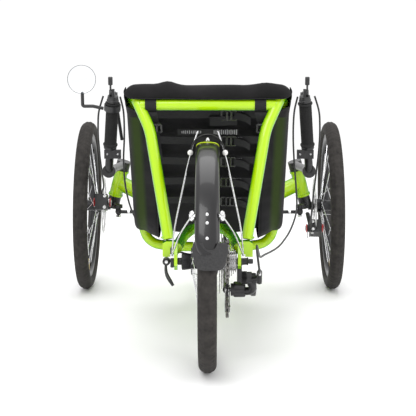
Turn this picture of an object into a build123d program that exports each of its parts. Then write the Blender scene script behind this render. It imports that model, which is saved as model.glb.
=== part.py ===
from build123d import *
import math
import os

# Recumbent tadpole trike: two steered front wheels, one driven rear wheel.
# X is to the rider's right, Y is forward, Z is up, in millimetres.
# Points below are given from the rear axle and moved by `at`.

# ---- driving dimensions -------------------------------------------------
WHEELBASE = 933
REAR_AXLE_Y = -567
WHEEL_CENTRE_X = 353
WHEEL_CENTRE_Z = 243
CAMBER = 1.0
KING_LEAN = 15.0
KING_CASTER = 8.0

TYRE_RADIUS = 243
TYRE_SECTION = 20
BEAD_RADIUS = 207
RIM_INNER = 190
RIM_HALF = 12.5
SPOKES = 28

TUBE = 12.7
TUBE_WALL = 2.0
SPINE = 25.0
SPINE_WALL = 2.5
BOOM_ANGLE = 24.2
BOOM_RADIUS = 22.0
RUNNING = 0.05

AXLE_RADIUS = 5.0
CHAIN_X = 43.2
CHAIN_HALF = 2.7
CHAIN_THICK = 8.0
RING_RADIUS = 98.0
COG_RADIUS = 41.0
IDLER_RADIUS = 24.0
IDLER = (CHAIN_X, 555, 182)
BOTTOM_BRACKET = (0, 1290, 362)
CRANK = 160

ROTOR_RADIUS = 80
ROTOR_OFFSET = -48
HUB_INNER = -46
HUB_OUTER = 18
FRONT_AXLE_RADIUS = 8.0
KING_RADIUS = 12.0
GRIP_RADIUS = 16.5
BAR_RADIUS = 11.1

os.makedirs("parts", exist_ok=True)
WRITTEN = []


def at(x, y, z):
    """A point given from the rear axle, in the part's own frame."""
    return Vector(x, y + REAR_AXLE_Y, z)


def save(shape, name):
    export_step(shape, f"parts/{name}.step")
    WRITTEN.append(name)


def mirrored(shape):
    return mirror(shape, about=Plane.YZ)


def save_pair(shape, name):
    """The right-hand piece and its mirror image on the left."""
    save(shape, f"{name}_right")
    save(mirrored(shape), f"{name}_left")


def frame_at(origin, axis, x_dir=None):
    return Plane(origin=origin, z_dir=axis, x_dir=x_dir)


def rod(start, end, radius):
    """A round bar from one point to another."""
    line = Vector(end) - Vector(start)
    up = (Align.CENTER, Align.CENTER, Align.MIN)
    return frame_at(start, line) * Cylinder(radius, line.length, align=up)


def bent_path(points, radii):
    return FilletPolyline(*points, radius=radii)


def bent_rod(points, radii, radius):
    path = bent_path(points, radii)
    return sweep(frame_at(path @ 0, path % 0) * Circle(radius), path=path)


def bent_tube(points, radii, radius, wall):
    return bent_rod(points, radii, radius) - bent_rod(points, radii, radius - wall)


def pipe(start, end, radius, wall):
    return rod(start, end, radius) - rod(start, end, radius - wall)


def ring(outer, inner, low, high):
    """A washer about local Z between two heights."""
    up = (Align.CENTER, Align.CENTER, Align.MIN)
    body = Cylinder(outer, high - low, align=up) - Cylinder(inner, high - low, align=up)
    return Pos(0, 0, low) * body


def disc(radius, low, high):
    up = (Align.CENTER, Align.CENTER, Align.MIN)
    return Pos(0, 0, low) * Cylinder(radius, high - low, align=up)


def cable_radii(points):
    """Arc radius at each corner: 0.45 of the shorter run over tan(half the turn)."""
    radii = []
    for before, here, after in zip(points, points[1:], points[2:]):
        first = here - before
        second = after - here
        half = math.radians(first.get_angle(second) / 2)
        radii.append(0.45 * min(first.length, second.length) / math.tan(half))
    return radii


def cable(points, radius, name):
    radii = cable_radii(points)
    print(name, "arc radii", [round(r) for r in radii])
    return bent_rod(points, radii, radius)


# ---- welded frame -------------------------------------------------------
BOOM_DIR = Vector(0, math.cos(math.radians(BOOM_ANGLE)), math.sin(math.radians(BOOM_ANGLE)))
BB = at(*BOTTOM_BRACKET)
BOOM_LENGTH = 380
RECEIVER_START = BB - BOOM_DIR * 427
RECEIVER_LENGTH = 200
RECEIVER_RADIUS = 26
SPINE_RUN = [at(0, 331, 283), at(0, 450, 163), at(0, 850, 160), RECEIVER_START]
SPINE_BENDS = [90, 150]

KING = at(262, 921, 311)
KING_DIR = Vector(-math.tan(math.radians(KING_LEAN)), -math.tan(math.radians(KING_CASTER)), 1)
KING_DIR = KING_DIR.normalized()
HEAD_HALF = 39
HEAD_RADIUS = 19
ARM_INNER = at(20, 893, 192)
ARM_RADIUS = 22

RAIL_RUN = [
    at(86, 20, 289), at(128, 78, 525), at(158, 98, 590), at(169.5, 130, 600),
    at(172, 455, 244), at(160, 745, 292),
]
RAIL_BENDS = [150, 30, 30, 110]
STAY_TURN = 42
HAMMOCK_RUN = [at(168, 500, 246), at(155, 500, 203), at(92, 500, 193)]
HAMMOCK_BENDS = [45, 60, 60, 45]


def main_spine():
    """Main tube from the horseshoe down and forward, with the idler's bracket."""
    tube = bent_tube(SPINE_RUN, SPINE_BENDS, SPINE, SPINE_WALL)
    return tube - rod(RECEIVER_START, RECEIVER_START + BOOM_DIR * 30, RECEIVER_RADIUS)


def boom_receiver():
    """Outer tube that clamps the boom, slit along its top at the front."""
    end = RECEIVER_START + BOOM_DIR * RECEIVER_LENGTH
    body = rod(RECEIVER_START, end, RECEIVER_RADIUS)
    ears = frame_at(end - BOOM_DIR * 22, BOOM_DIR, (1, 0, 0)) * (
        Pos(0, SPINE + 6, 0) * Box(26, 22, 34))
    bore = rod(RECEIVER_START + BOOM_DIR * 5, end + BOOM_DIR, BOOM_RADIUS + RUNNING)
    slit = frame_at(end - BOOM_DIR * 40, BOOM_DIR, (1, 0, 0)) * (
        Pos(0, SPINE + 2, 0) * Box(3, 42, 90))
    bolts = [frame_at(end - BOOM_DIR * d, (1, 0, 0)) for d in (14, 30)]
    up = Vector(0, -BOOM_DIR.Z, BOOM_DIR.Y)
    holes = [rod(p.origin + up * 36 - Vector(20, 0, 0), p.origin + up * 36 + Vector(20, 0, 0), 3)
             for p in bolts]
    return (body + ears) - bore - slit - holes


def cross_arm():
    arm = rod(ARM_INNER, KING - Vector(6, 0, 2), ARM_RADIUS)
    hollow = rod(ARM_INNER, KING - Vector(6, 0, 2), ARM_RADIUS - 2.5)
    head = rod(KING - KING_DIR * 60, KING + KING_DIR * 60, HEAD_RADIUS)
    spine = bent_rod(SPINE_RUN, SPINE_BENDS, SPINE) + rod(
        RECEIVER_START, RECEIVER_START + BOOM_DIR * RECEIVER_LENGTH, RECEIVER_RADIUS)
    centre = Plane.YZ * Pos(0, 0, -200) * Box(2000, 2000, 400)
    return arm - hollow - head - spine - centre


def head_tube():
    ends = KING_DIR * HEAD_HALF
    tube = rod(KING - ends, KING + ends, HEAD_RADIUS)
    cups = rod(KING - ends, KING - ends * 0.86, HEAD_RADIUS + 2.5) + rod(
        KING + ends * 0.86, KING + ends, HEAD_RADIUS + 2.5)
    return tube + cups - rod(KING - ends * 1.1, KING + ends * 1.1, KING_RADIUS + RUNNING)


def horseshoe_stay():
    """Chainstay bent into a horseshoe ahead of the rear wheel."""
    right = [at(69, 20, 268), at(57, 200, 268), at(36, 326, 268)]
    left = [Vector(-p.X, p.Y, p.Z) for p in reversed(right)]
    loop = bent_tube(right + left, [500, STAY_TURN, STAY_TURN, 500], TUBE, TUBE_WALL)
    return loop - bent_rod(SPINE_RUN, SPINE_BENDS, SPINE)


def rail_solid(radius):
    return bent_rod(RAIL_RUN, RAIL_BENDS, radius)


def seat_rail():
    """Seat stay and seat side rail, one bent tube from dropout to seat front."""
    return rail_solid(TUBE) - rail_solid(TUBE - TUBE_WALL)


def seat_crossbar():
    bar = pipe(at(-150, 92, 579), at(150, 92, 579), TUBE, TUBE_WALL)
    return bar - rail_solid(TUBE) - mirrored(rail_solid(TUBE))


def hammock_points():
    right = HAMMOCK_RUN
    left = [Vector(-p.X, p.Y, p.Z) for p in reversed(right)]
    return right + left


def hammock_tube():
    tube = bent_tube(hammock_points(), HAMMOCK_BENDS, TUBE, TUBE_WALL)
    return tube - rail_solid(TUBE) - mirrored(rail_solid(TUBE)) - bent_rod(
        SPINE_RUN, SPINE_BENDS, SPINE)


def seat_front_bar():
    """Front cross tube of the seat on a short post from the spine."""
    bar = pipe(at(-160, 740, 291.5), at(160, 740, 291.5), TUBE, TUBE_WALL)
    post = pipe(at(0, 740, 150), at(0, 740, 291.5), TUBE, TUBE_WALL)
    post = post - rod(at(-160, 740, 291.5), at(160, 740, 291.5), TUBE)
    joined = bar + post
    return joined - rail_solid(TUBE) - mirrored(rail_solid(TUBE)) - bent_rod(
        SPINE_RUN, SPINE_BENDS, SPINE)


DROPOUT_OUTLINE = [(-28, 238), (-12, 226), (12, 226), (24, 246), (24, 281), (2, 285), (-27, 262)]
HANGER_PIVOT = (-6, 208)
EYELET = (-20, 248)
LUG_CENTRE = (86, 17, 269)


def dropout(with_hanger):
    """Plate that holds the axle, with the lug that takes the seat stay."""
    outline = [at(0, y, z) for y, z in DROPOUT_OUTLINE]
    face = make_face(Polyline(*outline, close=True))
    plate = Pos(65.5, 0, 0) * extrude(face, amount=7, dir=(1, 0, 0))
    if with_hanger:
        tab = Polyline(at(0, -12, 228), at(0, 12, 228), at(0, 3, 200), at(0, -15, 200), close=True)
        plate += Pos(65.5, 0, 0) * extrude(make_face(tab), amount=7, dir=(1, 0, 0))
        pivot = at(60, *HANGER_PIVOT)
        plate -= rod(pivot, pivot + Vector(20, 0, 0), AXLE_RADIUS)
    centre = at(*LUG_CENTRE)
    lug = Pos(*(centre + Vector(-0.5, 0, 0))) * Box(26, 26, 34)
    slant = Pos(*(centre + Vector(12, 0, 22))) * Rot(0, 30, 0) * Box(40, 40, 16)
    stay = bent_rod(RAIL_RUN, RAIL_BENDS, TUBE + 0.01)
    chainstay = rod(at(69, 20, 268), at(57, 200, 268), TUBE)
    axle = rod(at(50, 0, 243), at(110, 0, 243), AXLE_RADIUS)
    eyelet = rod(at(50, *EYELET), at(110, *EYELET), 2.5)
    return plate + (lug - slant) - stay - chainstay - axle - eyelet


def boom():
    """Telescoping boom that carries the bottom bracket shell."""
    start = BB - BOOM_DIR * (BOOM_LENGTH - 40)
    tube = pipe(start, BB, BOOM_RADIUS, TUBE_WALL)
    shell = rod(BB - Vector(34, 0, 0), BB + Vector(34, 0, 0), 22)
    bore = rod(BB - Vector(40, 0, 0), BB + Vector(40, 0, 0), KING_RADIUS + RUNNING)
    post = pipe(BB + Vector(0, 0, 18), BB + Vector(0, 0, 95), 15, TUBE_WALL)
    return (tube - rod(BB - Vector(34, 0, 0), BB + Vector(34, 0, 0), 22)) + (post + shell) - bore


# ---- wheels -------------------------------------------------------------
FRONT_AXIS = Vector(math.cos(math.radians(CAMBER)), 0, math.sin(math.radians(CAMBER)))
FRONT_WHEEL = frame_at(at(WHEEL_CENTRE_X, WHEELBASE, WHEEL_CENTRE_Z), FRONT_AXIS, (0, 1, 0))
REAR_WHEEL = frame_at(at(0, 0, TYRE_RADIUS), (1, 0, 0), (0, 1, 0))


def tyre():
    centre = TYRE_RADIUS - TYRE_SECTION
    carcass = Torus(centre, TYRE_SECTION) - Torus(centre, TYRE_SECTION - 3.5)
    return carcass - disc(BEAD_RADIUS, -30, 30)


def rim():
    """Hoop with a U section, open towards the tyre."""
    body = ring(BEAD_RADIUS, RIM_INNER, -RIM_HALF, RIM_HALF)
    return body - ring(BEAD_RADIUS + 1, RIM_INNER + 5, -RIM_HALF + 3, RIM_HALF - 3)


def spokes(low_flange, high_flange, flange_radius):
    """Crossed wire spokes, alternating between the two hub flanges."""
    wires = []
    for count in range(SPOKES):
        turn = 2 * math.pi * count / SPOKES
        height = high_flange if count % 2 else low_flange
        lean = math.radians(62 if count % 4 < 2 else -62)
        hub = Vector(flange_radius * math.cos(turn - lean), flange_radius * math.sin(turn - lean), height)
        end = Vector(math.cos(turn), math.sin(turn), 0) * (RIM_INNER - 0.2)
        end += Vector(0, 0, 4 if count % 2 else -4)
        wires.append(rod(hub, end, 1.0))
    return wires


def laced(hub, low_flange, high_flange):
    """A hub with its crossed spokes, each a solid of its own."""
    return Compound(children=[hub, *spokes(low_flange, high_flange, 30)])


def front_hub():
    shell = disc(20, HUB_INNER, -28) + disc(15, -28, 12) + disc(20, 12, HUB_OUTER)
    flanges = disc(29, -31, -28) + disc(29, 10, 13)
    return shell + flanges - disc(FRONT_AXLE_RADIUS + RUNNING, HUB_INNER - 1, HUB_OUTER + 1)


def rotor():
    low, high = ROTOR_OFFSET, ROTOR_OFFSET + 2
    track = ring(ROTOR_RADIUS, ROTOR_RADIUS - 15, low, high)
    hub = ring(22, FRONT_AXLE_RADIUS + 3, low, high)
    arms = [Rot(0, 0, 60 * k) * Pos(43.5, 0, low + 1) * Rot(0, 0, 14) * Box(48, 9, 2) for k in range(6)]
    middle = (track + hub)
    for arm in arms:
        middle += arm
    return middle - disc(FRONT_AXLE_RADIUS + 3, low - 1, high + 1)


def rear_hub():
    shell = disc(16, -50, 27) + disc(29, -36, -33) + disc(26, 19, 22) + disc(19, -57, -50)
    freehub = disc(17, 27, 63.5)
    return shell + freehub - disc(AXLE_RADIUS + RUNNING, -60, 66)


COG_RADII = [70, 60, 52, 46, COG_RADIUS, 36, 32, 28, 24]
COG_STEP = 4.3
FIRST_COG = CHAIN_X - COG_STEP * COG_RADII.index(COG_RADIUS)


def cassette():
    """Cogs that step down outwards, on one carrier around the freehub."""
    last = FIRST_COG + COG_STEP * (len(COG_RADII) - 1)
    body = ring(20, 17 + RUNNING, FIRST_COG - 1, last + 2)
    for count, radius in enumerate(COG_RADII):
        middle = FIRST_COG + COG_STEP * count
        body += ring(radius, 19, middle - 0.9, middle + 0.9)
    return body


def rear_axle():
    """Quick-release skewer through the hub, with its spacers and nut."""
    body = rod(at(-81, 0, 243), at(99, 0, 243), AXLE_RADIUS)
    body += rod(at(-65.4, 0, 243), at(-57.3, 0, 243), 8.5)
    body += rod(at(63.8, 0, 243), at(65.4, 0, 243), 8.5)
    body += rod(at(-80, 0, 243), at(-72.6, 0, 243), 8)
    return body + rod(at(72.6, 0, 243), at(88, 0, 243), 8)


def qr_lever():
    """Cam head and curved lever that close the skewer."""
    head = rod(at(-90, -8, 243), at(-90, 8, 243), 8.8)
    arm = bent_rod([at(-91, 0, 238), at(-91, -6, 222), at(-77, -20, 196)], [14], 3.6)
    return head + arm + Pos(*at(-77, -20, 196)) * Sphere(5)


# ---- drivetrain ---------------------------------------------------------
def turn_point(stop, angle):
    """Point on a chain wheel's pitch line, at an angle from +Y towards +Z."""
    y, z, radius, _ = stop
    return at(CHAIN_X, y + radius * math.cos(angle), z + radius * math.sin(angle))


def tangent_angle(first, second):
    """Direction of the straight run that leaves one wheel for the next."""
    y0, z0, r0, s0 = first
    y1, z1, r1, s1 = second
    gap = math.hypot(y1 - y0, z1 - z0)
    return math.atan2(z1 - z0, y1 - y0) - math.asin((s1 * r1 - s0 * r0) / gap)


def chain_edges(stops):
    """Straight runs and arcs of a chain round wheels (y, z, pitch radius, spin)."""
    heads = [tangent_angle(a, b) for a, b in zip(stops, stops[1:])]
    heads.append(heads[0])
    edges = []
    leave = turn_point(stops[0], heads[0] - stops[0][3] * math.pi / 2)
    for stop, head, onward in zip(stops[1:], heads, heads[1:]):
        spin = stop[3]
        reach = head - spin * math.pi / 2
        arrive = turn_point(stop, reach)
        edges.append(Line(leave, arrive))
        swing = (onward - head) * spin % (2 * math.pi)
        leave = turn_point(stop, reach + spin * swing)
        edges.append(ThreePointArc(arrive, turn_point(stop, reach + spin * swing / 2), leave))
    return edges


def chain_band(edges):
    path = Wire(edges)
    plane = frame_at(path @ 0, path % 0, (1, 0, 0))
    return sweep(plane * Rectangle(2 * CHAIN_HALF, CHAIN_THICK), path=path)


def pitch(radius):
    return radius + 0.3 + CHAIN_THICK / 2


CHAINRING_STOP = (BOTTOM_BRACKET[1], BOTTOM_BRACKET[2], pitch(RING_RADIUS), -1)
CASSETTE_STOP = (0, 243, pitch(COG_RADIUS), -1)
IDLER_STOP = (IDLER[1], IDLER[2], pitch(IDLER_RADIUS), 1)
UPPER_JOCKEY = (22, 176)
LOWER_JOCKEY = (44, 131)
JOCKEY_RADIUS = 16
UPPER_STOP = (*UPPER_JOCKEY, pitch(JOCKEY_RADIUS), 1)
LOWER_STOP = (*LOWER_JOCKEY, pitch(JOCKEY_RADIUS), -1)
GUIDE_STOP = (900, 214, 60, -1)
CHAIN_LOOP = [UPPER_STOP, CASSETTE_STOP, IDLER_STOP, CHAINRING_STOP, GUIDE_STOP, LOWER_STOP, UPPER_STOP]
DRIVE_EDGES = 8


def chain_drive():
    """Chain from the upper jockey over the cassette, idler and chainring."""
    return chain_band(chain_edges(CHAIN_LOOP)[:DRIVE_EDGES])


def chain_lower():
    """Slack chain from the guide tube to both jockey wheels."""
    return chain_band(chain_edges(CHAIN_LOOP)[DRIVE_EDGES:])


def chain_tube():
    """Plastic guard tube round the slack run."""
    slack = chain_edges(CHAIN_LOOP)[DRIVE_EDGES]
    along = (slack @ 1 - slack @ 0).normalized()
    return pipe(slack @ 0 + along * 40, slack @ 0 + along * 620, 8.5, 1.5)


def chain_wheel(y, z, radius, bore, width):
    plane = frame_at(at(CHAIN_X - width / 2, y, z), (1, 0, 0))
    return plane * (disc(radius, 0, width) - disc(bore, -1, width + 1))


def idler_bracket():
    plate = Pos(*at(26, IDLER[1], 176)) * Box(20, 26, 34)
    bolt = rod(at(30, IDLER[1], IDLER[2]), at(CHAIN_X + 5, IDLER[1], IDLER[2]), AXLE_RADIUS)
    return plate + bolt - bent_rod(SPINE_RUN, SPINE_BENDS, SPINE)


def derailleur_body():
    """Hanger knuckle, parallelogram links, cable arm and lower knuckle."""
    hanger = at(0, *HANGER_PIVOT)
    side = Vector(1, 0, 0)
    upper = rod(hanger + side * 72.6, hanger + side * 96, 13)
    bolt = rod(hanger + side * 65.5, hanger + side * 73, AXLE_RADIUS)
    lower_centre = at(0, *UPPER_JOCKEY)
    lower = rod(lower_centre + side * 50.5, lower_centre + side * 80, 14)
    links = bent_rod([at(90, -6, 205), at(104, 2, 178), at(76, 22, 172)], [16], 9)
    arm = rod(at(92, -8, 205), at(112, -28, 212), 6) + rod(at(112, -34, 226), at(112, -22, 200), 6)
    return upper + bolt + lower + links + arm


def derailleur_cage():
    """Two plates that carry the jockey wheels on two bolts."""
    body = None
    for low in (CHAIN_X - 5.4, CHAIN_X + 3.6):
        plates = []
        for y, z in (UPPER_JOCKEY, LOWER_JOCKEY):
            plates.append(rod(at(low, y, z), at(low + 1.8, y, z), 11))
        middle = at(low + 0.9, sum(p[0] for p in (UPPER_JOCKEY, LOWER_JOCKEY)) / 2,
                    sum(p[1] for p in (UPPER_JOCKEY, LOWER_JOCKEY)) / 2)
        dy = LOWER_JOCKEY[0] - UPPER_JOCKEY[0]
        dz = LOWER_JOCKEY[1] - UPPER_JOCKEY[1]
        lean = math.degrees(math.atan2(dz, dy)) + 90
        link = Pos(*middle) * Rot(lean, 0, 0) * Box(1.8, 14, math.hypot(dy, dz))
        plate = plates[0] + plates[1] + link
        body = plate if body is None else body + plate
    for y, z in (UPPER_JOCKEY, LOWER_JOCKEY):
        body += rod(at(CHAIN_X - 5.4, y, z), at(CHAIN_X + 5.4, y, z), 3)
    return body


def chainring():
    plane = frame_at(at(CHAIN_X - 2, BOTTOM_BRACKET[1], BOTTOM_BRACKET[2]), (1, 0, 0))
    body = ring(RING_RADIUS, RING_RADIUS - 18, 0, 4) + ring(26, KING_RADIUS, 0, 4)
    for count in range(5):
        body += Rot(0, 0, 72 * count) * Pos(54, 0, 2) * Box(62, 16, 4)
    return plane * (body - disc(KING_RADIUS, -1, 5))


def crank_arms():
    """Spindle with an arm at each end, the right one up."""
    spindle = rod(BB - Vector(64, 0, 0), BB + Vector(64, 0, 0), KING_RADIUS)
    body = spindle
    for side in (1, -1):
        root = BB + Vector(side * 58, 0, 0)
        tip = root + Vector(0, 0, side * CRANK)
        arm = Pos(*((root + tip) / 2)) * Box(12, 22, CRANK)
        eye = rod(tip - Vector(6, 0, 0), tip + Vector(6, 0, 0), 14)
        boss = rod(root - Vector(6, 0, 0), root + Vector(6, 0, 0), 17)
        hole = rod(tip - Vector(7, 0, 0), tip + Vector(7, 0, 0), 7 + RUNNING)
        body += arm + eye + boss - hole
        body -= hole
    return body


def pedal(side):
    """Cage pedal on its own axle, square to the sole of an upright foot."""
    root = BB + Vector(0, 0, side * CRANK)
    out = Vector(side, 0, 0)
    cage = Box(88, 24, 96) - Box(72, 30, 22) - Pos(0, 0, 32) * Box(72, 30, 22)
    cage -= Pos(0, 0, -32) * Box(72, 30, 22)
    return Pos(*(root + out * 112)) * cage + rod(root + out * 52, root + out * 150, 7)


# ---- steering -----------------------------------------------------------
def king_point(along):
    return KING + KING_DIR * along


TIE_Y = 850
TIE_Z = 235
TIE_X = 258
PAD_LOW = 246
BAR_BASE = at(271, 706, 368)
GRIP_LOW = at(264.5, 668, 440)
GRIP_TOP = at(254, 630, 557)
BAR_RUN = [BAR_BASE, at(270.5, 690, 372), GRIP_LOW, GRIP_TOP + (GRIP_TOP - GRIP_LOW) * 0.1]


def knuckle():
    """Kingpin, lower block, steering arm and stub axle of one front wheel."""
    body = rod(king_point(-50), king_point(66), KING_RADIUS)
    body += rod(king_point(-76), king_point(-HEAD_HALF - 0.6), 18)
    body += rod(FRONT_WHEEL.from_local_coords(Vector(0, 0, -70)),
                FRONT_WHEEL.from_local_coords(Vector(0, 0, HUB_OUTER - 1)), FRONT_AXLE_RADIUS)
    body += rod(FRONT_WHEEL.from_local_coords(Vector(0, 0, -66)),
                FRONT_WHEEL.from_local_coords(Vector(0, 0, -50)), 12)
    body += rod(king_point(-66), at(TIE_X, TIE_Y, PAD_LOW + 5), 7)
    pad = rod(at(TIE_X, TIE_Y, PAD_LOW), at(TIE_X, TIE_Y, PAD_LOW + 10), 12)
    under = Pos(*at(TIE_X, TIE_Y, PAD_LOW - 20)) * Box(40, 60, 40)
    return body + pad - under


def tie_rod():
    """Rod with a ball joint at each end, hung under the steering arms."""
    rod_body = rod(at(-TIE_X, TIE_Y, TIE_Z), at(TIE_X, TIE_Y, TIE_Z), 5)
    for side in (-1, 1):
        eye = at(side * TIE_X, TIE_Y, TIE_Z)
        rod_body += Pos(*eye) * Sphere(9)
        rod_body += rod(eye - Vector(0, 0, 14), eye + Vector(0, 0, 9.6), 4)
        rod_body += rod(eye - Vector(0, 0, 14), eye - Vector(0, 0, 9), 6.5)
    return rod_body


def handlebar():
    """Stem clamp, fore-and-aft bar, base clamp, upright and lamp block."""
    clamp = rod(king_point(41), king_point(66), 20)
    fore = rod(king_point(54), BAR_BASE, BAR_RADIUS)
    base = rod(BAR_BASE - Vector(0, 18, 0), BAR_BASE + Vector(0, 14, 0), 18)
    upright = bent_rod(BAR_RUN, [20, 60], BAR_RADIUS)
    block = Pos(*at(258, 664, 417)) * Box(45, 14, 24)
    mount = rod(at(266, 664, 417), at(266, 682, 419), 7)
    return clamp + fore + base + upright + block + mount - rod(
        king_point(0), king_point(80), KING_RADIUS)


def grip():
    """Rubber sleeve with a flange at each end."""
    along = (GRIP_TOP - GRIP_LOW).normalized()
    body = rod(GRIP_LOW, GRIP_TOP, GRIP_RADIUS)
    body += rod(GRIP_LOW, GRIP_LOW + along * 4, 19.5)
    body += rod(GRIP_TOP - along * 4, GRIP_TOP, 19.5)
    return body - rod(GRIP_LOW - along * 9, GRIP_TOP + along * 9, BAR_RADIUS) - bent_rod(
        BAR_RUN, [20, 60], BAR_RADIUS)


BAR_DIR = (GRIP_TOP - GRIP_LOW).normalized()
BAR_FRONT = Vector(0, BAR_DIR.Z, -BAR_DIR.Y).normalized()
SHIFT_PIVOT = GRIP_TOP + BAR_DIR * 27
BRAKE_PIVOT = GRIP_TOP + BAR_DIR * 9 + BAR_FRONT * 33
BRAKE_SLOT = 5.6


def shifter_mount():
    """Bar-end housing with the cross pin's block on top."""
    body = rod(GRIP_TOP + BAR_DIR * 0.5, GRIP_TOP + BAR_DIR * 18, 14)
    return body + Pos(*(GRIP_TOP + BAR_DIR * 26)) * Box(7, 15, 22)


def shift_lever():
    """Thumb paddle that turns about the housing's cross pin."""
    side = Vector(1, 0, 0)
    drum = rod(SHIFT_PIVOT + side * 3.9, SHIFT_PIVOT + side * 10.4, 8)
    tip = SHIFT_PIVOT + Vector(7, 0, 36)
    paddle = rod(SHIFT_PIVOT + side * 7, tip, 2.6)
    return drum + paddle + Pos(*tip) * Sphere(6)


def brake_mount():
    """Perch that reaches forward from the housing to the lever's pin."""
    slot = Vector(BRAKE_SLOT, 0, 0)
    side = Vector(10, 0, 0)
    perch = rod(GRIP_TOP + BAR_DIR * 9, BRAKE_PIVOT, 6)
    cheeks = rod(BRAKE_PIVOT - side, BRAKE_PIVOT + side, 7)
    pin = rod(BRAKE_PIVOT - side, BRAKE_PIVOT + side, 3)
    return (perch + cheeks) - rod(BRAKE_PIVOT - slot, BRAKE_PIVOT + slot, 12) + pin


def brake_lever(inboard):
    """Blade that hangs from its pin in front of the grip."""
    half = Vector(BRAKE_SLOT - 0.4, 0, 0)
    hub = rod(BRAKE_PIVOT - half, BRAKE_PIVOT + half, 9)
    run = [BRAKE_PIVOT, BRAKE_PIVOT - BAR_DIR * 34 + BAR_FRONT * 14 - Vector(inboard * 0.3, 0, 0),
           BRAKE_PIVOT - BAR_DIR * 138 + BAR_FRONT * 20 - Vector(inboard, 0, 0)]
    blade = bent_rod(run, [40], 4.5)
    pin = rod(BRAKE_PIVOT - Vector(12, 0, 0), BRAKE_PIVOT + Vector(12, 0, 0), 3 + RUNNING)
    return hub + blade - pin


def caliper(y, z):
    """Disc brake caliper straddling the rotor, with pads knob and bracket."""
    wheel = FRONT_WHEEL
    centre = wheel.from_local_coords(Vector(0, 0, ROTOR_OFFSET + 1))
    spot = Vector(centre.X, at(0, y, 0).Y, z)
    out = (spot - centre).normalized()
    block = frame_at(spot, out, FRONT_AXIS) * Box(34, 44, 38)
    knob = rod(spot - FRONT_AXIS * 17, spot - FRONT_AXIS * 25, 11)
    lug = king_point(-70)
    bracket = rod(lug, spot - FRONT_AXIS * 12, 6)
    gap = wheel * disc(ROTOR_RADIUS + 2, ROTOR_OFFSET - 1.2, ROTOR_OFFSET + 3.2)
    inner = rod(king_point(-80), king_point(-30), 18)
    shaft = wheel * disc(24, -80, ROTOR_OFFSET + 6)
    return block + knob + (bracket - inner - shaft) - gap - knuckle()


MIRROR_ELBOW = at(335, 646, 546)
MIRROR_HEAD = at(337, 646, 617)


def mirror_arm():
    """Arm from the left bar's collar out to the stalk under the mirror head."""
    run = [at(280, 650, 540), at(308, 648, 546), MIRROR_ELBOW, MIRROR_ELBOW + Vector(0.5, 0, 32)]
    arm = bent_rod(run, [12, 5], 4.5)
    collar = rod(GRIP_TOP - BAR_DIR * 22, GRIP_TOP - BAR_DIR * 6, 22)
    sleeve = rod(GRIP_TOP - BAR_DIR * 24, GRIP_TOP + BAR_DIR * 2, 19.6)
    return (arm + collar) - sleeve


def mirror_head():
    """Round convex mirror on a ball socket."""
    shell = rod(MIRROR_HEAD + Vector(0, 14, 0), MIRROR_HEAD, 38)
    foot = MIRROR_ELBOW + Vector(0.5, 0, 32.5)
    neck = rod(foot, foot + Vector(0, 0, 14), 4.5)
    return shell + neck


# ---- fender, flap and stays --------------------------------------------
FENDER_RADIUS = 261
FENDER_HALF = 25
FENDER_END = 163
FENDER_FRONT = 50


def fender():
    """Arched fender, open below, from behind the wheel to ahead of its top."""
    outer = ring(FENDER_RADIUS, FENDER_RADIUS - 14, -FENDER_HALF, FENDER_HALF)
    inner = ring(FENDER_RADIUS - 2, FENDER_RADIUS - 15, -FENDER_HALF + 2, FENDER_HALF - 2)
    shell = REAR_WHEEL * (outer - inner)
    points = [at(0, 0, 243)]
    for angle in range(FENDER_FRONT, FENDER_END + 1, 10):
        turn = math.radians(angle)
        points.append(at(0, 400 * math.cos(turn), 243 + 400 * math.sin(turn)))
    turn = math.radians(FENDER_END)
    points.append(at(0, 400 * math.cos(turn), 243 + 400 * math.sin(turn)))
    wedge = Pos(-100, 0, 0) * extrude(make_face(Polyline(*points, close=True)), 200, dir=(1, 0, 0))
    return shell & wedge


def mudflap():
    """Rubber flap bolted behind the fender's lower end."""
    plane = frame_at(at(6, -250.6, 295.5), (0, -1, 0), (1, 0, 0))
    return extrude(plane * RectangleRounded(72, 55, 16), 4) - fender()


def fender_stays():
    """Wire stays from the dropouts, with their balls and clamps."""
    wires = None
    for side in (1, -1):
        run = [at(side * 77, -11, 256), at(side * 76, -9, 300), at(side * 38, 30, 478),
               at(side * 22, 42, 524)]
        upper = bent_rod(run, [90, 60], 2.4)
        ball = Pos(*at(side * 38, 30, 478)) * Sphere(6)
        low = [at(side * 77, -19, 259), at(side * 62, -90, 308), at(side * 34, -216, 374),
               at(side * 27, -222, 374)]
        lower = bent_rod(low, [200, 5], 2.4)
        clamp = Pos(*at(side * 30, -221, 374)) * Box(8, 12, 16)
        piece = upper + ball + lower + clamp
        wires = piece if wires is None else wires + piece
    loop = [at(-38, 30, 478), at(-33, 32, 506), at(0, 34, 519), at(33, 32, 506), at(38, 30, 478)]
    wires += bent_rod(loop, [14, 24, 14], 1.8)
    hull = REAR_WHEEL * disc(FENDER_RADIUS + 0.1, -FENDER_HALF - 0.1, FENDER_HALF + 0.1)
    return wires - hull


# ---- seat ---------------------------------------------------------------
SEAT_HALF = 180
SEAT_LINE = [(80, 596), (82, 614.5), (132, 615.5), (460, 259), (748, 308.6)]
SEAT_THICK = 4


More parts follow.
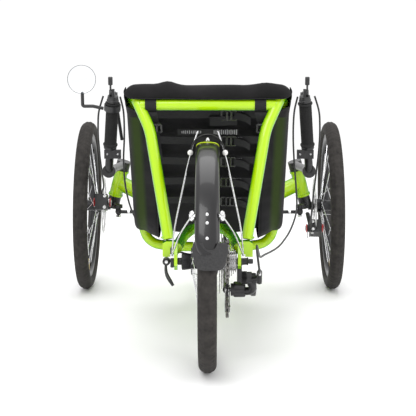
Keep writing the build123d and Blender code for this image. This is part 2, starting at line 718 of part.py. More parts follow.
def seat_mesh():
    """Mesh hammock: a sheet over the rails and a sleeve round each rail."""
    outer, inner = [], []
    for index, here in enumerate(SEAT_LINE):
        near = [SEAT_LINE[max(index - 1, 0)], SEAT_LINE[min(index + 1, len(SEAT_LINE) - 1)]]
        before = Vector(here[0] - near[0][0], here[1] - near[0][1])
        after = Vector(near[1][0] - here[0], near[1][1] - here[1])
        before = (before if before.length else after).normalized()
        after = (after if after.length else before).normalized()
        normal = Vector(-(before + after).Y, (before + after).X).normalized()
        reach = SEAT_THICK / 2 / max(0.3, normal.dot(Vector(-after.Y, after.X)))
        outer.append(at(0, here[0] + normal.X * reach, here[1] + normal.Y * reach))
        inner.append(at(0, here[0] - normal.X * reach, here[1] - normal.Y * reach))
    face = make_face(Polyline(*outer, *reversed(inner), close=True))
    sheet = Pos(-SEAT_HALF, 0, 0) * extrude(face, 2 * SEAT_HALF, dir=(1, 0, 0))
    rails = rail_solid(TUBE + 0.2)
    return sheet - rails - mirrored(rails)


# ---- cables -------------------------------------------------------------
GEAR_ROUTE = [
    at(234, 627, 572), at(226, 638, 530), at(225, 656, 470), at(229, 676, 402), at(237, 705, 325),
    at(238, 690, 262), at(218, 610, 222), at(191, 510, 203), at(172, 405, 206), at(154, 295, 216),
    at(132, 185, 226), at(118, 85, 238), at(111, 10, 262), at(106, -28, 282), at(106, -62, 270),
    at(110, -66, 240), at(112, -41, 222),
]
LEFT_ROUTE = [
    at(-234, 627, 572), at(-226, 638, 530), at(-226, 658, 465), at(-230, 680, 395),
    at(-226, 700, 320), at(-208, 695, 255), at(-170, 650, 205), at(-110, 590, 176), at(-60, 560, 164),
    at(-27, 550, 162),
]
LEFT_BRAKE = [
    at(282, 668, 572), at(296, 672, 530), at(299, 684, 470), at(297, 706, 410), at(294, 745, 355),
    at(294, 800, 312), at(303, 836, 296), at(305, 851, 284),
]
RIGHT_BRAKE = [
    at(282, 668, 572), at(296, 672, 530), at(299, 684, 470), at(297, 706, 410), at(293, 748, 340),
    at(290, 800, 270), at(289, 838, 220), at(293, 872, 186),
]
HOUSING = 2.5


def with_hose(body, route, name):
    """A caliper with the cable housing that feeds it, as a second solid."""
    return Compound(children=[body, cable(route, HOUSING, name) - body])


save(Compound(children=[main_spine(), boom_receiver(), idler_bracket()]), "main_spine")
save_pair(cross_arm(), "cross_arm")
save_pair(head_tube(), "head_tube")
save(horseshoe_stay(), "horseshoe_stay")
save(dropout(True), "dropout_right")
save(mirrored(dropout(False)), "dropout_left")
save_pair(seat_rail(), "seat_rail")
save(seat_crossbar(), "seat_crossbar")
save(Compound(children=[hammock_tube(), seat_front_bar()]), "seat_supports")
save(boom(), "boom")
save_pair(FRONT_WHEEL * tyre(), "front_tyre")
save_pair(FRONT_WHEEL * rim(), "front_rim")
save_pair(FRONT_WHEEL * laced(front_hub(), -29.5, 11.5), "front_hub_and_spokes")
save_pair(FRONT_WHEEL * rotor(), "brake_rotor")
save(REAR_WHEEL * tyre(), "rear_tyre")
save(REAR_WHEEL * rim(), "rear_rim")
save(REAR_WHEEL * laced(rear_hub(), -34.5, 20.5), "rear_hub_and_spokes")
save(REAR_WHEEL * cassette(), "cassette")
save(rear_axle(), "rear_axle")
save(qr_lever(), "qr_lever")
save(chain_drive(), "chain_drive")
save(chain_lower(), "chain_lower")
save(chain_tube(), "chain_tube")
save(chain_wheel(*IDLER[1:], IDLER_RADIUS, AXLE_RADIUS + RUNNING, 5), "idler_wheel")
save(chain_wheel(*UPPER_JOCKEY, JOCKEY_RADIUS, 3 + RUNNING, 5), "upper_jockey_wheel")
save(chain_wheel(*LOWER_JOCKEY, JOCKEY_RADIUS, 3 + RUNNING, 5), "lower_jockey_wheel")
save(derailleur_body(), "derailleur_body")
save(derailleur_cage(), "derailleur_cage")
save(chainring(), "chainring")
save(crank_arms(), "crank_arms")
save(pedal(1), "pedal_right")
save(pedal(-1), "pedal_left")
save_pair(knuckle(), "knuckle")
save(tie_rod(), "tie_rod")
save_pair(handlebar() + shifter_mount() + brake_mount(), "handlebar")
save_pair(grip(), "grip")
save_pair(shift_lever(), "shift_lever")
save(brake_lever(2), "brake_lever_right")
save(mirrored(brake_lever(28)), "brake_lever_left")
save(with_hose(caliper(900, 181), RIGHT_BRAKE, "right brake"), "brake_caliper_right")
save(mirrored(with_hose(caliper(853, 262), LEFT_BRAKE, "left brake")), "brake_caliper_left")
save(mirrored(mirror_arm()), "mirror_arm")
save(mirrored(mirror_head()), "mirror_head")
save(fender(), "rear_fender")
save(mudflap(), "mudflap")
save(fender_stays(), "fender_stays")
save(seat_mesh(), "seat_mesh")
save(cable(GEAR_ROUTE, HOUSING, "right gear"), "gear_cable_right")
save(cable(LEFT_ROUTE, HOUSING, "left gear"), "gear_cable_left")
print(len(WRITTEN), "nodes")
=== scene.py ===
import math
import bpy
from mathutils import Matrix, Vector, noise


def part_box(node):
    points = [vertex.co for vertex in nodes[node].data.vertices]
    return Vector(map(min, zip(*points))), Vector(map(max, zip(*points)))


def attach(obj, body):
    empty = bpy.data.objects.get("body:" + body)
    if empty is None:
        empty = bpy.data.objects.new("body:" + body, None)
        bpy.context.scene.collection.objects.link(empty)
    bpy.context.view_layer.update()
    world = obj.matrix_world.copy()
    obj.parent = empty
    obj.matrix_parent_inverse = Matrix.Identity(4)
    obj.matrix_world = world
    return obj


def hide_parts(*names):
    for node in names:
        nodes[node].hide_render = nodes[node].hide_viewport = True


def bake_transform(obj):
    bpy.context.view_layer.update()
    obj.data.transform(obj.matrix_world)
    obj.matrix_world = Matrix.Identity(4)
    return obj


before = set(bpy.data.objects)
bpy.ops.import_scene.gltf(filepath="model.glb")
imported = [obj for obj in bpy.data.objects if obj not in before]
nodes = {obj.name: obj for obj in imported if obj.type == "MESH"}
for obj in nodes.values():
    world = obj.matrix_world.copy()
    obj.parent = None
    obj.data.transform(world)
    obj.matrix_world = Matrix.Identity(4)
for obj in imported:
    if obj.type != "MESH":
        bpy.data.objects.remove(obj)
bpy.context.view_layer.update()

# Camera: a long lens from behind and a little above, level with the seat top,
# looking forward along the trike's centre plane.
wheel_low, wheel_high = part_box("rear_tyre")
rear_centre = (wheel_low + wheel_high) / 2
TYRE_RADIUS = (wheel_high.z - wheel_low.z) / 2
lens = bpy.data.cameras.new("long_lens")
lens.sensor_width = 36
lens.lens = 109.9
camera = bpy.data.objects.new("camera", lens)
camera.location = (0.0136, rear_centre.y - 2.73, 0.727)
camera.rotation_euler = (math.radians(90 - 7.65), 0, math.radians(0.27))
bpy.context.scene.collection.objects.link(camera)
bpy.context.scene.camera = camera

# Studio: a pale seamless floor, one large soft light over the trike and two
# softer ones at the sides, under an even white sky.
world = bpy.data.worlds.new("studio_sky")
world.use_nodes = True
world.node_tree.nodes["Background"].inputs["Color"].default_value = (1, 1, 1, 1)
world.node_tree.nodes["Background"].inputs["Strength"].default_value = 1.05
bpy.context.scene.world = world
bpy.context.scene.view_settings.view_transform = "Standard"


def softbox(name, place, aim, size, power):
    light = bpy.data.lights.new(name, "AREA")
    light.shape = "RECTANGLE"
    light.size = size
    light.size_y = size
    light.energy = power
    lamp = bpy.data.objects.new(name, light)
    lamp.location = place
    lamp.rotation_euler = (Vector(aim) - Vector(place)).to_track_quat("-Z", "Y").to_euler()
    bpy.context.scene.collection.objects.link(lamp)


softbox("key_light", (-0.9, -2.6, 2.6), (0, -0.3, 0.3), 1.6, 34)
softbox("fill_right", (2.4, -1.4, 1.5), (0, 0, 0.3), 1.8, 14)
softbox("top_light", (0, 0.3, 3.2), (0, 0, 0.2), 2.2, 34)


def graph(name):
    """A material with its node tree cleared down to a principled shader."""
    material = bpy.data.materials.new(name)
    material.use_nodes = True
    tree = material.node_tree
    return material, tree, tree.nodes["Principled BSDF"]


def textured(name, dark, light, roughness, scale, detail=4.0, metallic=0.0, bump=0.1, reach=0.0005,
             coat=0.0, stretch=(1, 1, 1), spread=0.12, shine=0.5):
    """A surface whose colour, roughness and height vary with fine noise."""
    material, tree, shader = graph(name)
    place = tree.nodes.new("ShaderNodeTexCoord")
    mapping = tree.nodes.new("ShaderNodeMapping")
    mapping.inputs["Scale"].default_value = stretch
    tree.links.new(place.outputs["Object"], mapping.inputs["Vector"])
    grain = tree.nodes.new("ShaderNodeTexNoise")
    grain.inputs["Scale"].default_value = scale
    grain.inputs["Detail"].default_value = detail
    tree.links.new(mapping.outputs["Vector"], grain.inputs["Vector"])
    tint = tree.nodes.new("ShaderNodeValToRGB")
    tint.color_ramp.elements[0].position = 0.3
    tint.color_ramp.elements[1].position = 0.7
    tint.color_ramp.elements[0].color = (*dark, 1)
    tint.color_ramp.elements[1].color = (*light, 1)
    tree.links.new(grain.outputs["Fac"], tint.inputs["Fac"])
    tree.links.new(tint.outputs["Color"], shader.inputs["Base Color"])
    rough = tree.nodes.new("ShaderNodeMapRange")
    rough.inputs["To Min"].default_value = max(0.02, roughness - spread)
    rough.inputs["To Max"].default_value = min(1.0, roughness + spread)
    tree.links.new(grain.outputs["Fac"], rough.inputs["Value"])
    tree.links.new(rough.outputs["Result"], shader.inputs["Roughness"])
    height = tree.nodes.new("ShaderNodeBump")
    height.inputs["Strength"].default_value = bump
    height.inputs["Distance"].default_value = reach
    tree.links.new(grain.outputs["Fac"], height.inputs["Height"])
    tree.links.new(height.outputs["Normal"], shader.inputs["Normal"])
    shader.inputs["Metallic"].default_value = metallic
    shader.inputs["Coat Weight"].default_value = coat
    shader.inputs["Coat Roughness"].default_value = 0.05
    shader.inputs["Specular IOR Level"].default_value = shine
    return material


floor_mesh = bpy.data.meshes.new("studio_floor")
FLOOR = 30
floor_mesh.from_pydata([(-FLOOR, -FLOOR, 0), (FLOOR, -FLOOR, 0), (FLOOR, FLOOR, 0), (-FLOOR, FLOOR, 0)], [],
                       [(0, 1, 2, 3)])
floor = bpy.data.objects.new("studio_floor", floor_mesh)
bpy.context.scene.collection.objects.link(floor)
floor_mesh.materials.append(textured("floor_paper", (0.97, 0.97, 0.97), (0.99, 0.99, 0.99), 0.9, 3, bump=0.0))

# Frame: welded aluminium tubes in a loud yellow-green powder coat, glossy and
# a little orange-peeled, with painted shade: darker green where the tubes
# turn away from the camera.
paint, tree, shader = graph("neon_powder_coat_with_painted_edge_shade")
# Painted shade: the facing ramp darkens the base colour to deep green where the tube faces turn away from the
# camera.
edge = tree.nodes.new("ShaderNodeLayerWeight")
edge.inputs["Blend"].default_value = 0.42
turn = tree.nodes.new("ShaderNodeValToRGB")
turn.color_ramp.elements[0].color = (0.43, 0.70, 0.0, 1)
turn.color_ramp.elements[0].position = 0.1
turn.color_ramp.elements[1].color = (0.045, 0.33, 0.0, 1)
turn.color_ramp.elements[1].position = 0.78
tree.links.new(edge.outputs["Facing"], turn.inputs["Fac"])
tree.links.new(turn.outputs["Color"], shader.inputs["Base Color"])
peel = tree.nodes.new("ShaderNodeTexNoise")
peel.inputs["Scale"].default_value = 420
peel_bump = tree.nodes.new("ShaderNodeBump")
peel_bump.inputs["Strength"].default_value = 0.04
peel_bump.inputs["Distance"].default_value = 0.0004
tree.links.new(peel.outputs["Fac"], peel_bump.inputs["Height"])
tree.links.new(peel_bump.outputs["Normal"], shader.inputs["Normal"])
shader.inputs["Roughness"].default_value = 0.22
shader.inputs["Coat Weight"].default_value = 0.35
shader.inputs["Coat Roughness"].default_value = 0.06


def coat(node, material):
    """Gives a CAD node its finish and smooths its round faces."""
    mesh = nodes[node].data
    mesh.materials.clear()
    mesh.materials.append(material)
    mesh.shade_smooth()
    mesh.set_sharp_from_angle(angle=math.radians(32))


PAINTED = ["main_spine", "horseshoe_stay", "seat_crossbar", "seat_supports", "boom"]
for side in ("left", "right"):
    PAINTED += [f"{part}_{side}" for part in ("cross_arm", "head_tube", "seat_rail", "dropout")]
for node in PAINTED:
    coat(node, paint)


def add_mesh(name, verts, faces, material, body, slot, smooth=True, sharp=35):
    """A new piece that rides on a body, if named, and takes the given material; its slot argument is not used."""
    mesh = bpy.data.meshes.new(name)
    mesh.from_pydata([tuple(v) for v in verts], [], faces)
    mesh.validate()
    mesh.materials.append(material)
    if smooth:
        mesh.shade_smooth()
        mesh.set_sharp_from_angle(angle=math.radians(sharp))
    piece = bpy.data.objects.new(name, mesh)
    bpy.context.scene.collection.objects.link(piece)
    if body:
        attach(piece, body)
    return piece


def spin(origin, axis, profile, count=48, closed=True):
    """Vertices and faces of a profile of (height, radius) turned about an axis."""
    axis = Vector(axis).normalized()
    across = axis.orthogonal().normalized()
    other = axis.cross(across)
    verts, faces = [], []
    for step in range(count):
        angle = 2 * math.pi * step / count
        out = across * math.cos(angle) + other * math.sin(angle)
        verts += [Vector(origin) + axis * height + out * radius for height, radius in profile]
    size = len(profile)
    last = size if closed else size - 1
    for step in range(count):
        here, there = step * size, (step + 1) % count * size
        for index in range(last):
            after = (index + 1) % size
            faces.append((here + index, here + after, there + after, there + index))
    return verts, faces


# Weld beads: a small rolled fillet where each foot of the horseshoe stay is welded on.
def bead(name, centre, axis, radius, size=0.0022):
    profile = [(size * math.cos(t), radius + size * math.sin(t)) for t in (0, 1.05, 2.1, 3.14, 4.2, 5.24)]
    add_mesh(name, *spin(centre, axis, profile, 40), paint, "frame", "frame_paint")


for side, sign in (("left", -1), ("right", 1)):
    foot = Vector((sign * 0.0875, rear_centre.y + 0.0222, 0.2895))
    bead(f"stay_weld_{side}", foot + Vector((sign * 0.001, 0.0015, 0.004)), (sign * 0.167, 0.25, 0.97),
         0.0128)

# Tyres: three 40 mm rubber casings with a fine block tread, brown-black and
# dusty, blocks raised on the crown and smooth side walls down to the beads.
rubber = textured("tread_rubber", (0.020, 0.018, 0.017), (0.045, 0.041, 0.038), 0.8, 60, bump=0.25,
                  reach=0.0004, shine=0.2)
TYRE_SECTION = 0.020
RIM_BEAD = 0.012
TREAD_DEPTH = 0.0011
TREAD_PITCHES = 96
AROUND = 576
ACROSS = 34
CAMBER = math.radians(1)
wheel_axis = {
    "rear": Vector((1, 0, 0)),
    "left": Vector((math.cos(CAMBER), 0, -math.sin(CAMBER))),
    "right": Vector((math.cos(CAMBER), 0, math.sin(CAMBER))),
}
wheel_body = {"rear": "rear_wheel", "left": "front_wheel_left", "right": "front_wheel_right"}
wheel_node = {"rear": ("rear_tyre", "rear_rim"), "left": ("front_tyre_left", "front_rim_left"),
              "right": ("front_tyre_right", "front_rim_right")}
wheel_centre = {}
for side, wheel_parts in wheel_node.items():
    low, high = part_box(wheel_parts[0])
    wheel_centre[side] = (low + high) / 2


def tread(turn, lean):
    """How deep the tread is cut at a turn (0 to 1) and a lean in degrees."""
    away = abs(lean)
    if away > 62:
        return 0.0
    if 3 < away < 6.5:
        return 0.8
    row = int(away // 15)
    phase = turn * TREAD_PITCHES + away * 0.035 + (0.5 if (row + (lean > 0)) % 2 else 0)
    cut = 1.0 if phase % 1 < 0.26 and away > 6 else 0.0
    if away > 12 and abs(away % 15 - 0.8) < 1.0:
        cut = 1.0
    return cut


def tyre_piece(side):
    axis = wheel_axis[side]
    across = Vector((0, 1, 0))
    other = axis.cross(across)
    ring_radius = TYRE_RADIUS - TYRE_SECTION
    last_lean = 180 - math.degrees(math.asin(RIM_BEAD / TYRE_SECTION))
    verts, faces = [], []
    for step in range(AROUND):
        angle = 2 * math.pi * step / AROUND
        out = across * math.cos(angle) + other * math.sin(angle)
        for index in range(ACROSS):
            lean = last_lean * (2 * index / (ACROSS - 1) - 1)
            depth = tread(step / AROUND, lean) * TREAD_DEPTH
            size = TYRE_SECTION - depth
            radial = ring_radius + size * math.cos(math.radians(lean))
            verts.append(wheel_centre[side] + out * radial + axis * size * math.sin(math.radians(lean)))
    for step in range(AROUND):
        here, there = step * ACROSS, (step + 1) % AROUND * ACROSS
        for index in range(ACROSS):
            after = (index + 1) % ACROSS
            faces.append((here + index, there + index, there + after, here + after))
    piece = add_mesh(f"{side}_tyre_tread", verts, faces, rubber, wheel_body[side], "tyre_rubber", sharp=28)
    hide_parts(wheel_node[side][0])


# Rims: black anodised aluminium hoops, a shallow box section with rolled
# hooks at the edges and a valve stem through one side.
anodised = textured("black_anodised", (0.018, 0.018, 0.019), (0.035, 0.035, 0.037), 0.33, 90, metallic=0.6,
                    bump=0.04)
valve_brass = textured("valve_brass", (0.55, 0.42, 0.2), (0.75, 0.6, 0.32), 0.3, 200, metallic=1.0)


def rim_piece(side):
    profile = [(-0.0125, 0.2068), (-0.0128, 0.2000), (-0.0122, 0.1945), (-0.0085, 0.1908), (0, 0.1900),
               (0.0085, 0.1908), (0.0122, 0.1945), (0.0128, 0.2000), (0.0125, 0.2068), (0.0098, 0.2068),
               (0.0095, 0.1975), (0, 0.1955), (-0.0095, 0.1975), (-0.0098, 0.2068)]
    piece = add_mesh(f"{side}_rim_hoop", *spin(wheel_centre[side], wheel_axis[side], profile, 144),
                     anodised, wheel_body[side], "rim_black", sharp=50)
    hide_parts(wheel_node[side][1])
    foot = wheel_centre[side] - Vector((0, 0, 0.1905))
    stem = [(0, 0.0001), (0, 0.003), (0.004, 0.0032), (0.0045, 0.0025), (0.022, 0.0025), (0.0225, 0.0035),
            (0.031, 0.0032), (0.033, 0.0018), (0.033, 0.0001)]
    add_mesh(f"{side}_valve_stem", *spin(foot, (0, 0, 1), stem, 14), valve_brass, wheel_body[side],
             "rim_black")


# Hubs and spokes: black forged shells with two flanges, laced with 28 crossed
# stainless wires that end in nipples at the rim.
SPOKES = 28
SPOKE_CIRCLE = 0.0265
NIPPLE_CIRCLE = 0.1905
bright = textured("stainless_wire", (0.55, 0.55, 0.56), (0.8, 0.8, 0.82), 0.25, 300, metallic=1.0, bump=0.02)
hub_black = textured("hub_black", (0.012, 0.012, 0.013), (0.028, 0.028, 0.03), 0.3, 120, metallic=0.5,
                     bump=0.05)
hub_shape = {
    "front": [(-0.046, 0.0081), (-0.046, 0.0196), (-0.032, 0.0200), (-0.0305, 0.0290), (-0.0280, 0.0290),
              (-0.0265, 0.0205), (-0.012, 0.0150), (0.004, 0.0150), (0.0095, 0.0200), (0.0105, 0.0290),
              (0.0130, 0.0290), (0.0140, 0.0200), (0.0178, 0.0190), (0.0178, 0.0081)],
    "rear": [(-0.0570, 0.0051), (-0.0570, 0.0150), (-0.0560, 0.0190), (-0.0500, 0.0190), (-0.0370, 0.0170),
             (-0.0360, 0.0290), (-0.0330, 0.0290), (-0.0320, 0.0170), (0.0160, 0.0165), (0.0185, 0.0180),
             (0.0190, 0.0260), (0.0220, 0.0260), (0.0235, 0.0170), (0.0634, 0.0168), (0.0634, 0.0051)],
}
flange_place = {"front": (-0.0293, 0.0118), "rear": (-0.0345, 0.0205)}


def stick(start, end, radius, sides=6):
    """Vertices and faces of a thin straight bar with its ends closed."""
    line = Vector(end) - Vector(start)
    profile = [(0, 0.00001), (0, radius), (line.length, radius), (line.length, 0.00001)]
    return spin(start, line, profile, sides, closed=False)


def gathered(parts):
    """Several vertex and face lists as one."""
    verts, faces = [], []
    for part_verts, part_faces in parts:
        base = len(verts)
        verts += part_verts
        faces += [tuple(base + index for index in face) for face in part_faces]
    return verts, faces


def hub_and_spokes(side):
    kind = "rear" if side == "rear" else "front"
    axis = wheel_axis[side] if side != "left" else -wheel_axis[side]
    centre = wheel_centre[side]
    across = Vector((0, 1, 0))
    other = axis.cross(across)
    hub = add_mesh(f"{side}_hub_shell", *spin(centre, axis, hub_shape[kind], 56), hub_black,
                   wheel_body[side], "hub_black", sharp=30)
    node = "rear_hub_and_spokes" if kind == "rear" else f"front_hub_and_spokes_{side}"
    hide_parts(node)
    wires, nipples = [], []
    for count in range(SPOKES):
        turn = 2 * math.pi * count / SPOKES
        height = flange_place[kind][count % 2]
        lean = math.radians(62 if count % 4 < 2 else -62)
        hub_out = across * math.cos(turn - lean) + other * math.sin(turn - lean)
        rim_out = across * math.cos(turn) + other * math.sin(turn)
        start = centre + hub_out * SPOKE_CIRCLE + axis * height
        end = centre + rim_out * NIPPLE_CIRCLE + axis * (0.004 if count % 2 else -0.004)
        wires.append(stick(start, end, 0.00105))
        nipples.append(stick(end, end + (start - end).normalized() * 0.011, 0.0019))
    add_mesh(f"{side}_spokes", *gathered(wires), bright, wheel_body[side], "hub_black")
    add_mesh(f"{side}_nipples", *gathered(nipples), anodised, wheel_body[side], "rim_black")


for side in wheel_node:
    tyre_piece(side)
    rim_piece(side)
    hub_and_spokes(side)

# Brake rotors: 160 mm stainless discs, brushed, with a drilled braking track,
# bolted to the inner end of each front hub.
DISC_INSET = 0.0470
brushed = textured("brushed_rotor", (0.42, 0.42, 0.42), (0.68, 0.68, 0.67), 0.3, 900, metallic=1.0, bump=0.05)


def rotor_piece(side):
    axis = wheel_axis[side] if side != "left" else -wheel_axis[side]
    centre = wheel_centre[side] - axis * DISC_INSET
    across = Vector((0, 1, 0))
    other = axis.cross(across)
    holes = 48
    verts, faces = [], []
    radii = (0.0650, 0.0690, 0.0725, 0.0760, 0.0800)
    steps = holes * 4
    for level in (-0.001, 0.001):
        for step in range(steps):
            angle = 2 * math.pi * step / steps
            out = across * math.cos(angle) + other * math.sin(angle)
            for index, radius in enumerate(radii):
                verts.append(centre + out * radius + axis * level)
    size = len(radii)
    ring = steps * size
    for step in range(steps):
        here, there = step * size, (step + 1) % steps * size
        for index in range(size - 1):
            drilled = (step + (index % 2) * 2) % 4 == 0 and index in (1, 2)
            quad = (here + index, here + index + 1, there + index + 1, there + index)
            if drilled:
                for a, b in zip(quad, quad[1:] + quad[:1]):
                    faces.append((a, b, b + ring, a + ring))
            else:
                faces.append(quad)
                faces.append(tuple(i + ring for i in reversed(quad)))
        for index in (0, size - 1):
            faces.append((here + index, there + index, there + index + ring, here + index + ring))
    parts = [(verts, faces)]
    for count in range(6):
        angle = math.radians(60 * count)
        out = across * math.cos(angle) + other * math.sin(angle)
        swept = across * math.cos(angle + 0.42) + other * math.sin(angle + 0.42)
        arm = []
        for reach, bend, half in ((0.017, 0.0, 0.006), (0.034, 0.15, 0.0042), (0.052, 0.55, 0.0035),
                                  (0.0660, 1.0, 0.0048)):
            way = (out * (1 - bend) + swept * bend).normalized()
            flank = axis.cross(way)
            arm += [centre + way * reach + flank * half * s + axis * level
                    for s, level in ((-1, -0.0009), (1, -0.0009), (1, 0.0009), (-1, 0.0009))]
        quads = [(4 * k + i, 4 * k + (i + 1) % 4, 4 * k + 4 + (i + 1) % 4, 4 * k + 4 + i)
                 for k in range(3) for i in range(4)]
        quads += [(3, 2, 1, 0), (12, 13, 14, 15)]
        parts.append((arm, quads))
    hub_ring = [(-0.001, 0.0112), (-0.001, 0.0225), (0.001, 0.0225), (0.001, 0.0112)]
    parts.append(spin(centre, axis, hub_ring, 40))
    for count in range(6):
        angle = math.radians(60 * count + 30)
        out = across * math.cos(angle) + other * math.sin(angle)
        bolt = [(-0.0032, 0.00001), (-0.0032, 0.0015), (-0.0028, 0.0029), (-0.001, 0.0031), (-0.001, 0.00001)]
        parts.append(spin(centre + out * 0.0185, axis, bolt, 12, closed=False))
    piece = add_mesh(f"brake_disc_{side}", *gathered(parts), brushed, wheel_body[side], "rotor_steel")
    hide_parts(f"brake_rotor_{side}")


for side in ("left", "right"):
    rotor_piece(side)

# Rear fender: one glossy black moulding with rounded shoulders, arched over
# the wheel and open below, with three domed steel rivets down its back.
gloss_black = textured("fender_gloss", (0.006, 0.006, 0.007), (0.012, 0.011, 0.012), 0.3, 14, bump=0.02,
                       coat=0.35, spread=0.04, shine=0.35)
polished = textured("polished_steel", (0.6, 0.6, 0.6), (0.82, 0.82, 0.83), 0.16, 160, metallic=1.0, bump=0.02)
FENDER_OUT = 0.261
FENDER_HALF = 0.025
FENDER_DEPTH = 0.014
FENDER_SPAN = (50, 167)


def fender_point(angle, sideways, lift=0.0):
    """A point on the fender's outer skin; sideways runs -1 to 1 across it."""
    turn = math.radians(angle)
    out = Vector((0, math.cos(turn), math.sin(turn)))
    bow = math.pi / 2 * max(-1.0, min(1.0, sideways))
    across = FENDER_HALF * math.copysign(abs(math.sin(bow)) ** 0.8, bow)
    drop = FENDER_DEPTH * (1 - abs(math.cos(bow)) ** 0.62)
    return rear_centre + Vector((across, 0, 0)) + out * (FENDER_OUT - drop + lift)


def fender_shell():
    steps, across = 90, 26
    verts, faces = [], []
    for layer in (0.0, -0.0022):
        for step in range(steps + 1):
            share = step / steps
            angle = FENDER_SPAN[0] + (FENDER_SPAN[1] - FENDER_SPAN[0]) * share
            rounding = min(1.0, math.sqrt(max(0.0, (1 - share) * steps / 5)))
            for index in range(across + 1):
                sideways = 2 * index / across - 1
                point = fender_point(angle, sideways, layer)
                if layer:
                    point.x = rear_centre.x + (point.x - rear_centre.x) * 0.93
                point.x = rear_centre.x + (point.x - rear_centre.x) * (0.55 + 0.45 * rounding)
                verts.append(point)
    row = across + 1
    sheet = (steps + 1) * row
    for step in range(steps):
        for index in range(across):
            here = step * row + index
            faces.append((here, here + row, here + row + 1, here + 1))
            faces.append(tuple(sheet + i for i in (here, here + 1, here + row + 1, here + row)))
        for index in (0, across):
            here = step * row + index
            faces.append((here, here + sheet, here + row + sheet, here + row))
    for step in (0, steps):
        for index in range(across):
            here = step * row + index
            faces.append((here, here + 1, here + 1 + sheet, here + sheet))
    shell = add_mesh("rear_fender_shell", verts, faces, gloss_black, "frame", "gloss_black", sharp=60)
    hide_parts("rear_fender")


fender_shell()
DOME = [(-0.001, 0.00001), (-0.001, 0.0038), (0.0006, 0.0038), (0.0018, 0.0030), (0.0024, 0.0018), (0.0026,
        0.00001)]
for count, angle in enumerate((149, 153, 160)):
    spot = fender_point(angle, 0.0)
    add_mesh(f"fender_rivet_{count + 1}", *spin(spot, spot - rear_centre, DOME, 20, closed=False), polished,
             "frame", "bright_steel")


def strip_round(name, angle_span, half, lift, thick, material, slot, steps=40):
    """A thin strip that lies across the fender, wrapped over its shoulders."""
    verts, faces = [], []
    for step in range(steps + 1):
        sideways = -half + 2 * half * step / steps
        for angle, height in ((angle_span[0], lift), (angle_span[1], lift), (angle_span[1], lift + thick),
                              (angle_span[0], lift + thick)):
            verts.append(fender_point(angle, sideways, height))
    for step in range(steps):
        here = step * 4
        for index in range(4):
            after = (index + 1) % 4
            faces.append((here + index, here + after, here + 4 + after, here + 4 + index))
    faces += [(0, 3, 2, 1), tuple(steps * 4 + i for i in (0, 1, 2, 3))]
    return add_mesh(name, verts, faces, material, "frame", slot)


# A thin lime strip laid flat on the fender's crown: a painted reflection of the lime frame in the gloss black, not
# a strap.
painted_lime_reflection = textured("painted_lime_reflection", (0.55, 0.75, 0.0), (0.72, 0.9, 0.02), 0.3, 120, bump=0.03)
strip_round("fender_painted_lime_reflection", (92.5, 93.8), 1.0, 0.0004, 0.0010, painted_lime_reflection, "frame_paint")
crown = fender_point(90, 0.0)
bolt_head = [(0, 0.00001), (0, 0.0042), (0.003, 0.0042), (0.0052, 0.0034), (0.0066, 0.0018), (0.007, 0.00001)]
add_mesh("fender_top_bolt", *spin(crown + Vector((0, 0.002, 0.0022)), (0, -0.25, 1), bolt_head, 20,
         closed=False), polished, "frame", "bright_steel")

# Mudflap: a thick matt rubber flap, wrapped round the lower end of the fender
# and held by the last rivet, with rounded lower corners.
flap_rubber = textured("flap_rubber", (0.035, 0.035, 0.036), (0.052, 0.051, 0.052), 0.75, 260, bump=0.3,
                       reach=0.0003, spread=0.08, shine=0.2)
flap_low, flap_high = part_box("mudflap")
flap_centre = (flap_low + flap_high) / 2
FLAP_HALF = (flap_high.x - flap_low.x) / 2
FLAP_TALL = flap_high.z - flap_low.z


def mudflap_piece():
    rows, columns = 26, 36
    verts, faces = [], []
    for layer in (0, 1):
        for row in range(rows + 1):
            down = row / rows
            for column in range(columns + 1):
                side = 2 * column / columns - 1
                corner = max(0.0, abs(side) - 0.5) / 0.5
                width = FLAP_HALF * (0.90 + 0.10 * math.sin(math.pi * min(1, down * 1.1)))
                top = 0.0
                if abs(side) < 0.42:
                    top = 0.24 * math.sqrt(1 - (side / 0.42) ** 2)
                low = 1.0 - 0.30 * (1 - math.sqrt(max(0.0, 1 - corner ** 2)))
                level = top + (low - top) * down
                point = Vector((flap_centre.x + side * width, flap_high.y, flap_high.z - FLAP_TALL * level))
                point.y += 0.018 * abs(side) ** 2.2 - 0.003 + layer * 0.0028 + 0.004 * down
                verts.append(point)
    line = columns + 1
    sheet = (rows + 1) * line
    for row in range(rows):
        for column in range(columns):
            here = row * line + column
            faces.append((here, here + 1, here + line + 1, here + line))
            faces.append(tuple(sheet + i for i in (here, here + line, here + line + 1, here + 1)))
    rim = [(i, i + 1) for i in range(columns)] + [(rows * line + i + 1,
           rows * line + i) for i in range(columns)]
    rim += [((i + 1) * line, i * line) for i in range(rows)]
    rim += [(i * line + columns, (i + 1) * line + columns) for i in range(rows)]
    faces += [(a, a + sheet, b + sheet, b) for a, b in rim]
    flap = add_mesh("mudflap_rubber", verts, faces, flap_rubber, "frame", "black_rubber", sharp=50)
    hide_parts("mudflap")


mudflap_piece()


# Fender stays: stainless wires from the dropouts up past the fender, each with
# a white plastic ball that joins them to a dark wire hoop over its crown.
def smooth_line(points, steps=40):
    """Points along a smooth curve that stays near a short list of points."""
    curve = bpy.data.curves.new("route", "CURVE")
    curve.dimensions = "3D"
    spline = curve.splines.new("NURBS")
    spline.points.add(len(points) - 1)
    for spot, point in zip(spline.points, points):
        spot.co = (*point, 1)
    spline.order_u = 3
    spline.use_endpoint_u = True
    spline.resolution_u = max(2, steps // len(points))
    holder = bpy.data.objects.new("route", curve)
    bpy.context.scene.collection.objects.link(holder)
    made = bpy.data.meshes.new_from_object(holder)
    line = [v.co.copy() for v in made.vertices]
    bpy.data.objects.remove(holder)
    bpy.data.curves.remove(curve)
    bpy.data.meshes.remove(made)
    return line


